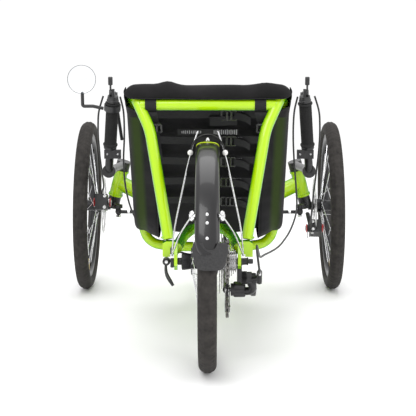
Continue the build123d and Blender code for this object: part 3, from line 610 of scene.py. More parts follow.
def hose(line, radius, sides=12, ribs=None):
    """Vertices and faces of a round tube along a line, with closed ends."""
    verts, faces = [], []
    up = (line[1] - line[0]).orthogonal().normalized()
    for index, point in enumerate(line):
        ahead = line[min(index + 1, len(line) - 1)] - line[max(index - 1, 0)]
        ahead.normalize()
        up = (up - ahead * up.dot(ahead)).normalized()
        side = ahead.cross(up)
        size = radius if ribs is None else ribs(index / (len(line) - 1))
        for step in range(sides):
            angle = 2 * math.pi * step / sides
            verts.append(point + (up * math.cos(angle) + side * math.sin(angle)) * size)
    for index in range(len(line) - 1):
        for step in range(sides):
            here, after = index * sides + step, index * sides + (step + 1) % sides
            faces.append((here, after, after + sides, here + sides))
    faces.append(tuple(reversed(range(sides))))
    faces.append(tuple(range(len(verts) - sides, len(verts))))
    return verts, faces


def at(x, y, z):
    """A point in millimetres from the rear axle's foot, in the frame's metres."""
    return Vector((x / 1000, rear_centre.y + y / 1000, z / 1000))


white_plastic = textured("white_plastic", (0.78, 0.77, 0.74), (0.88, 0.87, 0.85), 0.3, 80, bump=0.03)
dark_wire = textured("dark_wire", (0.02, 0.02, 0.02), (0.05, 0.05, 0.05), 0.35, 300, metallic=0.6, bump=0.03)


def sphere(centre, radius, rings=10, count=20):
    profile = [(-radius * math.cos(math.pi * k / rings), max(0.00001, radius * math.sin(math.pi * k / rings)))
               for k in range(rings + 1)]
    return spin(centre, (0, 0, 1), profile, count, closed=False)


def stays():
    for side, sign in (("left", -1), ("right", 1)):
        upper = smooth_line([at(sign * x, y, z) for x, y, z in
                             ((77, -11, 256), (76, -9, 300), (57, 11, 390), (38, 30, 478), (22, 42, 524))])
        lower = smooth_line([at(sign * x, y, z) for x, y, z in
                             ((77, -19, 259), (62, -90, 308), (46, -160, 345), (30, -221, 374))])
        for name, line in (("upper", upper), ("lower", lower)):
            piece = add_mesh(f"fender_wire_{name}_{side}", *hose(line, 0.0017), bright, "frame",
                             "bright_steel")
            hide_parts("fender_stays")
        add_mesh(f"stay_ball_{side}", *sphere(at(sign * 38, 30, 478), 0.0062), white_plastic, "frame",
                 "bright_steel")
        foot = at(sign * 77, -11, 256)
        nut = [(-0.0045, 0.00001), (-0.0045, 0.0048), (0.0045, 0.0048), (0.0045, 0.00001)]
        add_mesh(f"stay_eye_bolt_{side}", *spin(foot, (1, 0, 0), nut, 6, closed=False), polished, "frame",
                 "bright_steel", smooth=False)
        clamp = at(sign * 30, -221, 374)
        parts = []
        for lift in (-0.0055, 0.0055):
            parts.append(sphere(clamp + Vector((0, 0, lift)), 0.0052))
        parts.append(stick(clamp - Vector((0.006, 0, 0)), clamp + Vector((0.006, 0, 0)), 0.0034, 14))
        add_mesh(f"stay_clamp_{side}", *gathered(parts), polished, "frame", "bright_steel")
    hoop = smooth_line([at(-38, 30, 478), at(-33, 32, 506), at(0, 34, 521), at(33, 32, 506), at(38, 30, 478)])
    add_mesh("fender_crown_hoop", *hose(hoop, 0.0016), dark_wire, "frame", "black_alloy")


stays()

# Seat: a hammock of coated black mesh stretched between the two side rails,
# sleeved round each rail, with a deep pocket over the top of the frame.
def woven(name, dark, light, roughness, pitch, glow=None):
    """Mesh cloth: crossed threads in the bump, slow changes in the colour."""
    material, tree, shader = graph(name)
    place = tree.nodes.new("ShaderNodeTexCoord")
    threads = []
    for direction in ("X", "Z"):
        wave = tree.nodes.new("ShaderNodeTexWave")
        wave.bands_direction = direction
        wave.inputs["Scale"].default_value = 0.314 / pitch
        wave.inputs["Distortion"].default_value = 0.3
        tree.links.new(place.outputs["Object"], wave.inputs["Vector"])
        threads.append(wave)
    both = tree.nodes.new("ShaderNodeMath")
    both.operation = "MULTIPLY"
    tree.links.new(threads[0].outputs["Fac"], both.inputs[0])
    tree.links.new(threads[1].outputs["Fac"], both.inputs[1])
    bump = tree.nodes.new("ShaderNodeBump")
    bump.inputs["Strength"].default_value = 0.5
    bump.inputs["Distance"].default_value = 0.0004
    tree.links.new(both.outputs["Value"], bump.inputs["Height"])
    tree.links.new(bump.outputs["Normal"], shader.inputs["Normal"])
    cloud = tree.nodes.new("ShaderNodeTexNoise")
    cloud.inputs["Scale"].default_value = 14
    cloud.inputs["Detail"].default_value = 5
    tree.links.new(place.outputs["Object"], cloud.inputs["Vector"])
    tint = tree.nodes.new("ShaderNodeValToRGB")
    tint.color_ramp.elements[0].position = 0.35
    tint.color_ramp.elements[1].position = 0.7
    tint.color_ramp.elements[0].color = (*dark, 1)
    tint.color_ramp.elements[1].color = (*light, 1)
    tree.links.new(cloud.outputs["Fac"], tint.inputs["Fac"])
    colour = tint.outputs["Color"]
    if glow:
        parts = tree.nodes.new("ShaderNodeSeparateXYZ")
        tree.links.new(place.outputs["Object"], parts.inputs["Vector"])
        reach = tree.nodes.new("ShaderNodeMath")
        reach.operation = "ABSOLUTE"
        tree.links.new(parts.outputs["X"], reach.inputs[0])
        band = tree.nodes.new("ShaderNodeValToRGB")
        for spot in (0.3, 0.6):
            band.color_ramp.elements.new(spot)
        for element, level in zip(band.color_ramp.elements, (0, 1, 1, 0)):
            element.color = (level, level, level, 1)
        scaled = tree.nodes.new("ShaderNodeMapRange")
        scaled.inputs["From Min"].default_value = 0.150
        scaled.inputs["From Max"].default_value = 0.182
        tree.links.new(reach.outputs["Value"], scaled.inputs["Value"])
        tree.links.new(scaled.outputs["Result"], band.inputs["Fac"])
        blend = tree.nodes.new("ShaderNodeMix")
        blend.data_type = "RGBA"
        blend.inputs["B"].default_value = (*glow, 1)
        tree.links.new(band.outputs["Color"], blend.inputs["Factor"])
        tree.links.new(colour, blend.inputs["A"])
        colour = blend.outputs["Result"]
    tree.links.new(colour, shader.inputs["Base Color"])
    shader.inputs["Roughness"].default_value = roughness
    shader.inputs["Specular IOR Level"].default_value = 0.12
    return material


SEAT_RUN = ((79, 593), (73.5, 604), (84, 618.5), (108, 621.5), (136, 612), (154.5, 596.5), (181, 566.2),
            (246, 495), (311, 423.8), (381, 347.1), (425.8, 298.2), (464.9, 272.3), (511.5, 268.3), (575,
            278.8), (637.6, 289.2), (720, 302.8), (744, 306.2), (758, 299), (749, 280))
seat_mesh_cloth = woven("hammock_mesh", (0.010, 0.010, 0.011), (0.021, 0.020, 0.022), 0.62, 0.0011,
                        glow=(0.030, 0.050, 0.010))
cap_cloth = woven("cap_cloth", (0.009, 0.009, 0.009), (0.017, 0.016, 0.017), 0.7, 0.0009)


def through(points, steps=8):
    """Points on a smooth curve that passes through each given point."""
    line = []
    for index in range(len(points) - 1):
        before = points[max(index - 1, 0)]
        start, end = points[index], points[index + 1]
        after = points[min(index + 2, len(points) - 1)]
        for step in range(steps):
            t = step / steps
            bend = (2 * before - 5 * start + 4 * end - after) * t ** 2
            twist = (3 * start - before - 3 * end + after) * t ** 3
            line.append(0.5 * (2 * start + (end - before) * t + bend + twist))
    return line + [points[-1].copy()]


def even(line, count):
    """The same line with its points spaced evenly."""
    lengths = [0.0]
    for before, here in zip(line, line[1:]):
        lengths.append(lengths[-1] + (here - before).length)
    made, index = [], 0
    for step in range(count):
        want = lengths[-1] * step / (count - 1)
        while index < len(line) - 2 and lengths[index + 1] < want:
            index += 1
        span = max(1e-9, lengths[index + 1] - lengths[index])
        made.append(line[index].lerp(line[index + 1], (want - lengths[index]) / span))
    return made, lengths[-1]


seat_line, seat_length = even(through([at(0, y, z) for y, z in SEAT_RUN], 24), 190)


def hump(x):
    """How far the pocket's top edge stands above its middle, in metres."""
    return 0.010 * math.exp(-((x + 0.088) / 0.022) ** 2) + 0.006 * math.exp(-((x - 0.128) / 0.030) ** 2) \
        + 0.003 * math.exp(-((x + 0.140) / 0.030) ** 2)


def rail_reach(y):
    """How far each side rail is from the middle plane at a place along Y."""
    forward = (y - rear_centre.y) * 1000
    if forward < 455:
        return 0.1695 + 0.0025 * max(0.0, forward - 130) / 325
    return 0.1720 - 0.0120 * min(1.0, (forward - 455) / 290)


def seat_section(share, reach=0.171):
    """(x, drop) points from the middle out round one rail to the flap's edge."""
    cap = max(0.0, min(1.0, (0.17 - share) / 0.05))
    radius = 0.0145 + 0.0105 * cap
    middle = reach + 0.002 * cap - (radius - 0.0145)
    points = [(middle * k / 16, 0.0) for k in range(16)]
    sweep = math.radians(180 - 60 * cap)
    points += [(middle + radius * math.sin(sweep * k / 14), radius * (1 - math.cos(sweep * k / 14)))
               for k in range(15)]
    flap = 0.046 * (1 - cap)
    if flap > 0:
        points += [(middle - flap * k / 6, radius * 2 - 0.0005) for k in range(1, 7)]
    else:
        points += [points[-1]] * 6
    return points


def seat_cloth():
    rows = len(seat_line)
    verts, faces = [], []
    for row, centre in enumerate(seat_line):
        share = row / (rows - 1)
        ahead = (seat_line[min(row + 1, rows - 1)] - seat_line[max(row - 1, 0)]).normalized()
        out = Vector((0, -ahead.z, ahead.y))
        half = seat_section(share, rail_reach(centre.y))
        section = [(-x, drop) for x, drop in reversed(half)] + half[1:]
        back = 1 if 0.16 < share < 0.62 else 0
        for x, drop in section:
            ripple = 0.0018 * noise.noise(Vector((x * 9, row * 0.13, 3.1)))
            ripple += 0.0011 * noise.noise(Vector((x * 26, row * 0.42, 8.4)))
            ripple *= 1 - 0.9 * max(0.0, min(1.0, (abs(x) - 0.125) / 0.03))
            sag = 0.006 * back * (1 - min(1, abs(x) / 0.15) ** 2) * math.sin(math.pi * (share - 0.16) / 0.46)
            lift = hump(x) * max(0.0, 1 - abs(share - 0.045) / 0.05) if share < 0.11 else 0.0
            droop = 0.045 * math.exp(-((share - 0.60) / 0.06) ** 2) * (1 - min(1, abs(x) / 0.165) ** 4)
            point = Vector((x, centre.y, centre.z)) + out * (ripple - drop - sag)
            point.z += lift - droop
            verts.append(point)
    across = len(verts) // rows
    for row in range(rows - 1):
        for index in range(across - 1):
            here = row * across + index
            quad = (here, here + across, here + across + 1, here + 1)
            ends = (verts[quad[0]] - verts[quad[3]]).length, (verts[quad[1]] - verts[quad[2]]).length
            if max(ends) > 1e-6:
                faces.append(quad)
    return verts, faces, across


verts, faces, seat_across = seat_cloth()
cloth = add_mesh("seat_hammock", verts, faces, seat_mesh_cloth, "frame", "seat_mesh", sharp=80)
cloth.data.materials.append(cap_cloth)
for face in cloth.data.polygons:
    if min(face.vertices) // seat_across < 0.165 * len(seat_line):
        face.material_index = 1
thick = cloth.modifiers.new("cloth_thickness", "SOLIDIFY")
thick.thickness = 0.0014
thick.offset = 0
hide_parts("seat_mesh")
flat_width = 2 * sum(math.dist(a, b) for a, b in zip(seat_section(0.4), seat_section(0.4)[1:]))

# Seat straps: black webbing laced across the back of the hammock through
# ladder-lock buckles, and two loops that tie the pocket to the crossbar.
webbing = textured("strap_webbing", (0.012, 0.012, 0.013), (0.022, 0.022, 0.023), 0.7, 500, bump=0.3,
                   reach=0.0003, stretch=(0.3, 1, 1), shine=0.2)
buckle_black = textured("buckle_nylon", (0.012, 0.012, 0.012), (0.022, 0.022, 0.023), 0.22, 40, bump=0.03,
                        coat=0.3)
grey_stitch = textured("grey_stitch", (0.25, 0.25, 0.26), (0.42, 0.42, 0.43), 0.5, 400, bump=0.1)
BACK_DOWN = Vector((0, 0.328, -0.356)).normalized()
BACK_OUT = Vector((0, -0.356, -0.328)).normalized()


def back_point(x, z, out=0.0):
    """A point on the rear side of the seat back at a height, moved outwards."""
    top = at(0, 132, 600)
    step = (z - top.z) / BACK_DOWN.z
    return top + BACK_DOWN * step + Vector((x, 0, 0)) + BACK_OUT * out


def ribbon(line, across, thick):
    """A flat strap along a line; across is its half width as a vector."""
    verts, faces = [], []
    across = Vector(across)
    for index, point in enumerate(line):
        ahead = (line[min(index + 1, len(line) - 1)] - line[max(index - 1, 0)]).normalized()
        out = ahead.cross(across).normalized() * thick / 2
        verts += [point - across - out, point + across - out, point + across + out, point - across + out]
    for index in range(len(line) - 1):
        here = index * 4
        for corner in range(4):
            after = (corner + 1) % 4
            faces.append((here + corner, here + after, here + 4 + after, here + 4 + corner))
    end = len(verts) - 4
    faces += [(0, 3, 2, 1), (end, end + 1, end + 2, end + 3)]
    return verts, faces


def bar(start, end, width, thick, out):
    """A small square-edged bar between two points, facing outwards."""
    line = Vector(end) - Vector(start)
    across = Vector(out).cross(line).normalized() * width / 2
    lift = Vector(out).normalized() * thick / 2
    verts = [Vector(p) + across * a + lift * b for p in (start, end)
             for a, b in ((-1, -1), (1, -1), (1, 1), (-1, 1))]
    faces = [(0, 3, 2, 1), (4, 5, 6, 7), (0, 1, 5, 4), (1, 2, 6, 5), (2, 3, 7, 6), (3, 0, 4, 7)]
    return verts, faces


def soften(piece, width=0.0007):
    """Rounds a moulded piece's edges."""
    edge = piece.modifiers.new("rounded_edges", "BEVEL")
    edge.width = width
    edge.segments = 2
    edge.limit_method = "ANGLE"


def buckle(name, centre, half, tall):
    """A ladder-lock: a frame with three cross bars."""
    parts = []
    side, down = Vector((1, 0, 0)), BACK_DOWN
    for sign in (-1, 1):
        rail = centre + down * sign * tall
        parts.append(bar(rail - side * half, rail + side * half, 0.0045, 0.0045, BACK_OUT))
    for share in (-1, -0.25, 0.35, 1):
        post = centre + side * half * share
        lift = BACK_OUT * (0.0016 if abs(share) < 1 else 0)
        parts.append(bar(post - down * tall + lift, post + down * tall + lift, 0.0042, 0.0042, BACK_OUT))
    piece = add_mesh(name, *gathered(parts), buckle_black, "frame", "black_plastic", sharp=30)
    soften(piece)


STRAP_HEIGHTS = (0.566, 0.503, 0.450, 0.396, 0.343)
for count, height in enumerate(STRAP_HEIGHTS):
    line = []
    for step in range(49):
        x = -0.138 + 0.276 * step / 48
        wave = 0.0014 * noise.noise(Vector((x * 18, count * 3.7, 1)))
        line.append(back_point(x, height + 0.0025 * noise.noise(Vector((x * 7, count * 5.1, 4))),
                    0.0165 + wave))
    add_mesh(f"back_strap_{count + 1}", *ribbon(line, BACK_DOWN * 0.0125, 0.0016), webbing, "frame",
             "seat_mesh", sharp=40)
    buckle(f"back_buckle_{count + 1}", back_point(0.047, height, 0.0195), 0.0165, 0.0150)
    tail = smooth_line([back_point(0.060, height, 0.021), back_point(0.075, height - 0.001, 0.024),
                       back_point(0.088, height - 0.006, 0.023), back_point(0.097, height - 0.016, 0.020)],
                       16)
    add_mesh(f"strap_tail_{count + 1}", *ribbon(tail, BACK_DOWN * 0.0115, 0.0015), webbing, "frame",
             "seat_mesh", sharp=40)
    stitches = []
    for x in (-0.126, 0.126, 0.070):
        for row in (-0.0095, 0.0095):
            for step in range(5):
                start = back_point(x - 0.010 + 0.0042 * step, height, 0.0179) + BACK_DOWN * row
                stitches.append(bar(start, start + Vector((0.0024, 0, 0)), 0.0006, 0.0005, BACK_OUT))
    add_mesh(f"strap_stitches_{count + 1}", *gathered(stitches), grey_stitch, "frame", "seat_mesh",
             smooth=False)

# Adjuster: a doubled pad of webbing behind the top buckle and a daisy chain of
# pale bar tacks below it.
pad_line = [back_point(x, 0.553, 0.020 + 0.0008 * math.sin(x * 90)) for x in
            [0.004 + 0.062 * k / 14 for k in range(15)]]
add_mesh("adjuster_pad", *ribbon(pad_line, BACK_DOWN * 0.0150, 0.003), webbing, "frame", "seat_mesh",
         sharp=40)
daisy = [back_point(-0.070 + 0.140 * k / 40, 0.524, 0.0178) for k in range(41)]
add_mesh("daisy_chain_webbing", *ribbon(daisy, BACK_DOWN * 0.0095, 0.0014), webbing, "frame", "seat_mesh",
         sharp=40)
tacks = []
for x0, count, tall in ((0.014, 13, 0.0085), (-0.060, 11, 0.0055)):
    for k in range(count):
        middle = back_point(x0 + 0.0043 * k, 0.524, 0.0188)
        reach = BACK_DOWN * tall * (0.7 + 0.3 * ((k * 7) % 5) / 4)
        tacks.append(bar(middle - reach, middle + reach, 0.0016, 0.0007, BACK_OUT))
add_mesh("daisy_chain_tacks", *gathered(tacks), grey_stitch, "frame", "seat_mesh", smooth=False)

bar_low, bar_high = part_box("seat_crossbar")
bar_centre = (bar_low + bar_high) / 2
LOOP_RADIUS = 0.0142
for side, x in (("left", -0.1265), ("right", 0.1165)):
    line = []
    for step in range(22):
        angle = math.radians(75 + 210 * step / 21)
        line.append(bar_centre + Vector((x, LOOP_RADIUS * math.cos(angle), LOOP_RADIUS * math.sin(angle))))
    line = [line[0] + Vector((0, 0.020, 0.010))] + line
    drop = bar_centre + Vector((x, -0.011, -LOOP_RADIUS - 0.002))
    line = [p for p in line if p.z > bar_centre.z - 0.009 or p.y < bar_centre.y]
    tail = smooth_line([line[-1], drop, drop + Vector((0.004, 0.008, -0.018)), drop + Vector((0.008, 0.02,
                       -0.036))], 18)
    add_mesh(f"crossbar_loop_{side}", *ribbon(line + tail[1:], (0.0125, 0, 0), 0.0018), webbing, "frame",
             "seat_mesh", sharp=50)
    buckle(f"crossbar_buckle_{side}", drop + Vector((0.008, 0.014, -0.036)), 0.0150, 0.0120)
    line = smooth_line([drop + Vector((0.008, 0.018, -0.044)), drop + Vector((0.010, 0.022, -0.070)),
                        drop + Vector((0.014, 0.036, -0.098)), drop + Vector((0.014, 0.050, -0.120))], 20)
    add_mesh(f"crossbar_strap_{side}", *ribbon(line, (0.0105, 0, 0), 0.0016), webbing, "frame", "seat_mesh",
             sharp=50)


# Binding: folded tape sewn over the free edges of the hammock.
def binding(name, line, radius):
    add_mesh(name, *hose(line, radius, 8), webbing, "frame", "seat_mesh")


cloth_points = [v.co for v in cloth.data.vertices]
cloth_rows = len(seat_line)
first = int(cloth_rows * 0.19)
last = int(cloth_rows * 0.97)
binding("flap_binding_left", [cloth_points[r * seat_across] for r in range(first, last)], 0.0016)
binding("flap_binding_right", [cloth_points[r * seat_across + seat_across - 1] for r in range(first, last)],
        0.0016)
binding("pocket_binding", [cloth_points[k] for k in range(7, seat_across - 7)], 0.0015)

# Rear hub ends: a black axle sleeve on each side, the quick-release skewer
# with its spring nut, and the curved cam lever that closes it.
steel = textured("machined_steel", (0.30, 0.30, 0.31), (0.52, 0.52, 0.53), 0.28, 220, metallic=1.0, bump=0.06)
black_alloy = textured("black_alloy", (0.013, 0.013, 0.014), (0.030, 0.030, 0.031), 0.34, 110, metallic=0.4,
                       bump=0.06, coat=0.15)
black_plastic = textured("black_plastic", (0.014, 0.014, 0.015), (0.026, 0.026, 0.027), 0.4, 90, bump=0.08)


def axle_pieces():
    skewer = [(-0.0805, 0.00001), (-0.0805, 0.0049), (-0.0655, 0.0049), (-0.0650, 0.0080), (-0.0575, 0.0080),
              (-0.0570, 0.0048), (0.0635, 0.0048), (0.0640, 0.0080), (0.0654, 0.0080), (0.0656, 0.0049),
              (0.0990, 0.0049), (0.0990, 0.00001)]
    rod_piece = add_mesh("skewer_rod", *spin(wheel_centre["rear"], (1, 0, 0), skewer, 28, closed=False),
                         black_alloy, "frame", "bright_steel", sharp=30)
    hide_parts("rear_axle")
    nut = [(0.0728, 0.0052), (0.0728, 0.0092), (0.0745, 0.0096), (0.0765, 0.0080), (0.0850, 0.0074),
           (0.0870, 0.0088), (0.0885, 0.0084), (0.0885, 0.0052)]
    add_mesh("skewer_nut", *spin(wheel_centre["rear"], (1, 0, 0), nut, 30), black_alloy, "frame",
             "black_alloy", sharp=30)
    collar = [(-0.0795, 0.0052), (-0.0795, 0.0078), (-0.0730, 0.0082), (-0.0730, 0.0052)]
    add_mesh("skewer_collar", *spin(wheel_centre["rear"], (1, 0, 0), collar, 30), black_alloy, "frame",
             "black_alloy", sharp=30)
    lock_nut = [(0.0990, 0.00001), (0.0990, 0.0046), (0.0965, 0.0062), (0.0900, 0.0062), (0.0900, 0.0050)]
    add_mesh("skewer_lock_nut", *spin(wheel_centre["rear"], (1, 0, 0), lock_nut, 6, closed=False),
             black_alloy, "frame", "bright_steel", smooth=False)


axle_pieces()
head = wheel_centre["rear"] + Vector((-0.090, 0, 0))
cam = [(-0.0078, 0.00001), (-0.0078, 0.0070), (-0.0068, 0.0086), (0.0068, 0.0086), (0.0078, 0.0070),
       (0.0078, 0.00001)]
parts = [spin(head, (0, 1, 0), cam, 30, closed=False)]
lever_line = smooth_line([at(-91, 0, 238), at(-92, -4, 226), at(-88, -11, 212), at(-80, -18, 201), at(-75,
                         -21, 193)], 30)
parts.append(hose(lever_line, 0.0036, 14,
             ribs=lambda share: 0.0030 + 0.0014 * math.sin(math.pi * share ** 1.6)))
lever = add_mesh("skewer_lever", *gathered(parts), black_alloy, "qr_lever", "black_alloy", sharp=50)
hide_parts("qr_lever")
dome = [(-0.0005, 0.00001), (-0.0005, 0.0040), (0.0010, 0.0034), (0.0014, 0.00001)]
add_mesh("cam_pin", *spin(head - Vector((0, 0.0078, 0)), (0, -1, 0), dome, 20, closed=False), polished,
         "qr_lever", "bright_steel")

# Sprockets: nine stamped steel cogs on the freehub, a large ring at the crank,
# and black toothed pulleys at the idler and the derailleur.
cog_steel = textured("cog_steel", (0.22, 0.22, 0.22), (0.46, 0.45, 0.44), 0.27, 160, metallic=1.0, bump=0.08)
chain_steel = textured("oiled_chain", (0.10, 0.095, 0.09), (0.36, 0.35, 0.33), 0.3, 240, metallic=1.0,
                       bump=0.1)


def toothed(centre, radius, hole, low, high, teeth, depth=0.0042, windows=0):
    """A sprocket about X: teeth outside, a bore and maybe lightening slots."""
    steps = teeth * 6
    wave = (0.0, 0.35, 0.9, 1.0, 0.9, 0.35)
    verts, faces = [], []
    inner = radius * 0.62 if windows else hole
    rings = [hole, inner, radius * 0.84, radius - depth] if windows else [hole, radius - depth]
    count = len(rings) + 1
    for side in (low, high):
        for step in range(steps):
            angle = 2 * math.pi * step / steps
            out = Vector((0, math.cos(angle), math.sin(angle)))
            for size in rings:
                verts.append(centre + Vector((side, 0, 0)) + out * size)
            verts.append(centre + Vector((side, 0, 0)) + out * (radius - depth * (1 - wave[step % 6])))
    sheet = steps * count
    for step in range(steps):
        here, there = step * count, (step + 1) % steps * count
        for index in range(count - 1):
            open_here = windows and index == 1 and (step * windows * 2 // steps) % 2 == 0
            if open_here:
                before = ((step - 1) % steps * windows * 2 // steps) % 2
                following = ((step + 1) % steps * windows * 2 // steps) % 2
                for a, b in ((here + index, there + index), (there + index + 1, here + index + 1)):
                    faces.append((a, b, b + sheet, a + sheet))
                if before:
                    faces.append((here + index, here + index + sheet, here + index + 1 + sheet,
                                 here + index + 1))
                if following:
                    faces.append((there + index, there + index + 1, there + index + 1 + sheet,
                                  there + index + sheet))
                continue
            faces.append((here + index, there + index, there + index + 1, here + index + 1))
            faces.append(tuple(sheet + i for i in (here + index, here + index + 1, there + index + 1,
                                                   there + index)))
        for index, flip in ((0, False), (count - 1, True)):
            quad = (here + index, here + index + sheet, there + index + sheet, there + index)
            faces.append(tuple(reversed(quad)) if flip else quad)
    return verts, faces


COG_RADII = (0.070, 0.060, 0.052, 0.046, 0.041, 0.036, 0.032, 0.028, 0.024)
COG_STEP = 0.0043
FIRST_COG = 0.026
for count, radius in enumerate(COG_RADII):
    middle = FIRST_COG + COG_STEP * count
    teeth = max(11, round(radius * 2 * math.pi / 0.0127))
    open_slots = 6 if radius > 0.040 else 0
    cog = add_mesh(f"cog_{teeth}_teeth_{count + 1}", *toothed(wheel_centre["rear"], radius, 0.0175,
                   middle - 0.0009, middle + 0.0009, teeth, windows=open_slots), cog_steel, "cassette",
                   "drivetrain_steel", sharp=30)
    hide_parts("cassette")
spacer = [(0.0252, 0.0172), (0.0252, 0.0200), (0.0620, 0.0200), (0.0628, 0.0185), (0.0628, 0.0172)]
add_mesh("cassette_spacers", *spin(wheel_centre["rear"], (1, 0, 0), spacer, 40), steel, "cassette",
         "drivetrain_steel", sharp=30)


def pulley(node, name, body, teeth, bore):
    low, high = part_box(node)
    centre = (low + high) / 2
    radius = (high.z - low.z) / 2
    half = (high.x - low.x) / 2
    piece = add_mesh(name, *toothed(centre, radius, bore, -half * 0.8, half * 0.8, teeth, depth=0.0038,
                     windows=5 if radius > 0.02 else 0), black_plastic, body, "black_plastic", sharp=30)
    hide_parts(node)
    hub = [(-half, bore), (-half, bore + 0.0035), (half, bore + 0.0035), (half, bore)]
    add_mesh(f"{name}_bush", *spin(centre, (1, 0, 0), hub, 28), steel, body, "drivetrain_steel", sharp=30)
    return centre, radius


idler_centre, idler_radius = pulley("idler_wheel", "idler_pulley", "idler", 12, 0.00505)
upper_centre, jockey_radius = pulley("upper_jockey_wheel", "upper_jockey_pulley", "upper_jockey", 11, 0.00305)
lower_centre, jockey_radius = pulley("lower_jockey_wheel", "lower_jockey_pulley", "lower_jockey", 11, 0.00305)
ring_low, ring_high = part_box("chainring")
ring_centre = (ring_low + ring_high) / 2
RING_RADIUS = (ring_high.z - ring_low.z) / 2
big_ring = add_mesh("crank_chainring", *toothed(ring_centre, RING_RADIUS, 0.0122, -0.0018, 0.0018, 48,
                    windows=5), cog_steel, "crankset", "drivetrain_steel", sharp=30)
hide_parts("chainring")
for count in range(5):
    angle = math.radians(72 * count + 18)
    spot = ring_centre + Vector((0.0005, math.cos(angle) * 0.075, math.sin(angle) * 0.075))
    bolt = [(-0.003, 0.00001), (-0.003, 0.0048), (0.003, 0.0048), (0.003, 0.0026), (0.0018, 0.00001)]
    add_mesh(f"chainring_bolt_{count + 1}", *spin(spot, (1, 0, 0), bolt, 14, closed=False), polished,
             "crankset", "bright_steel")


# Chain: pairs of steel side plates on rollers, run over the cassette, idler and
# chainring and back through the guard tube to the derailleur's pulleys.
LINK = 0.0127
CHAIN_LIFT = 0.0043


def tangent_heading(first, second):
    """Heading of the straight run between two wheels (y, z, radius, spin)."""
    gap = Vector((second[0] - first[0], second[1] - first[1]))
    return math.atan2(gap.y, gap.x) - math.asin((second[3] * second[2] - first[3] * first[2]) / gap.length)


def chain_points(stops):
    """The chain's pitch line as points along straight runs and wheel arcs."""
    headings = [tangent_heading(a, b) for a, b in zip(stops, stops[1:])]
    line = []
    for index, (first, second) in enumerate(zip(stops, stops[1:])):
        heading = headings[index]
        for stop in (first, second):
            angle = heading - stop[3] * math.pi / 2
            line.append(Vector((chain_x, stop[0] + stop[2] * math.cos(angle),
                        stop[1] + stop[2] * math.sin(angle))))
        if index + 1 < len(headings):
            begin = heading - second[3] * math.pi / 2
            swing = (headings[index + 1] - heading) * second[3] % (2 * math.pi)
            for step in range(1, 24):
                angle = begin + second[3] * swing * step / 24
                line.append(Vector((chain_x, second[0] + second[2] * math.cos(angle),
                                    second[1] + second[2] * math.sin(angle))))
    return line


def chain_mesh(line, name, body, node):
    length = sum((b - a).length for a, b in zip(line, line[1:]))
    links, _ = even(line, round(length / LINK) + 1)
    parts = []
    for index, (a, b) in enumerate(zip(links, links[1:])):
        run = (b - a).normalized()
        rise = Vector((1, 0, 0)).cross(run)
        wide = 0.0026 if index % 2 else 0.0018
        for side in (-1, 1):
            offset = Vector((side * wide, 0, 0))
            plate = [a - run * 0.0036 - rise * 0.0018, a - run * 0.0016 - rise * 0.0036,
                     a + run * 0.0040 - rise * 0.0028, b - run * 0.0040 - rise * 0.0028,
                     b + run * 0.0016 - rise * 0.0036, b + run * 0.0036 - rise * 0.0018,
                     b + run * 0.0036 + rise * 0.0018, b + run * 0.0016 + rise * 0.0036,
                     b - run * 0.0040 + rise * 0.0028, a + run * 0.0040 + rise * 0.0028,
                     a - run * 0.0016 + rise * 0.0036, a - run * 0.0036 + rise * 0.0018]
            thick = Vector((0.0004, 0, 0))
            verts = [p + offset - thick for p in plate] + [p + offset + thick for p in plate]
            size = len(plate)
            faces = [tuple(reversed(range(size))), tuple(range(size, 2 * size))]
            faces += [(k, (k + 1) % size, size + (k + 1) % size, size + k) for k in range(size)]
            parts.append((verts, faces))
        parts.append(stick(a - Vector((0.0036, 0, 0)), a + Vector((0.0036, 0, 0)), 0.0013, 6))
        parts.append(stick(a - Vector((0.0015, 0, 0)), a + Vector((0.0015, 0, 0)), 0.0034, 8))
    piece = add_mesh(name, *gathered(parts), chain_steel, body, "drivetrain_steel", sharp=30)
    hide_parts(node)
    return piece


chain_x = idler_centre.x
CHAIN_COG = 0.041


def stop(centre, radius, spin_way):
    return (centre.y, centre.z, radius + CHAIN_LIFT, spin_way)


guide = at(0, 900, 214)
upper_stop = stop(upper_centre, jockey_radius, 1)
cassette_stop = stop(wheel_centre["rear"], CHAIN_COG, -1)
idler_stop = stop(idler_centre, idler_radius, 1)
chainring_stop = stop(ring_centre, RING_RADIUS, -1)
guide_stop = (guide.y, guide.z, 0.060, -1)
lower_stop = stop(lower_centre, jockey_radius, -1)
drive_line = chain_points([upper_stop, cassette_stop, idler_stop, chainring_stop, guide_stop])
slack_line = chain_points([chainring_stop, guide_stop, lower_stop, upper_stop, cassette_stop])
chain_mesh(drive_line[:51], "drive_chain_rear", "frame", "chain_drive")
front_run = chain_mesh(drive_line[50:], "drive_chain_front", None, "chain_drive")
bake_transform(front_run)
slack_start, slack_end = slack_line[25], slack_line[26]
slack_way = (slack_end - slack_start).normalized()
tube_end = slack_start + slack_way * 0.622
chain_mesh(slack_line[1:26] + [tube_end], "return_chain_front", "frame", "chain_lower")
rear_run = chain_mesh([tube_end] + slack_line[26:76], "return_chain_rear", None, "chain_lower")
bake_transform(rear_run)

# Chain guard: a black plastic tube that keeps the slack run off the frame, with
# a flared mouth at each end.
tube_line = [slack_start + slack_way * (0.040 + 0.580 * k / 60) for k in range(61)]
guard = add_mesh("chain_guard_tube", *hose(tube_line, 0.0083, 20,
                 ribs=lambda share: 0.0080 + 0.0005 * (share < 0.02 or share > 0.98)), black_plastic,
                 "frame", "black_plastic", sharp=50)
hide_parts("chain_tube")

# Rear derailleur: a black parallelogram mechanism under the dropout, with two
# silver-edged cage plates that hold the pulleys, and a barrel adjuster.
coat("derailleur_body", black_alloy)


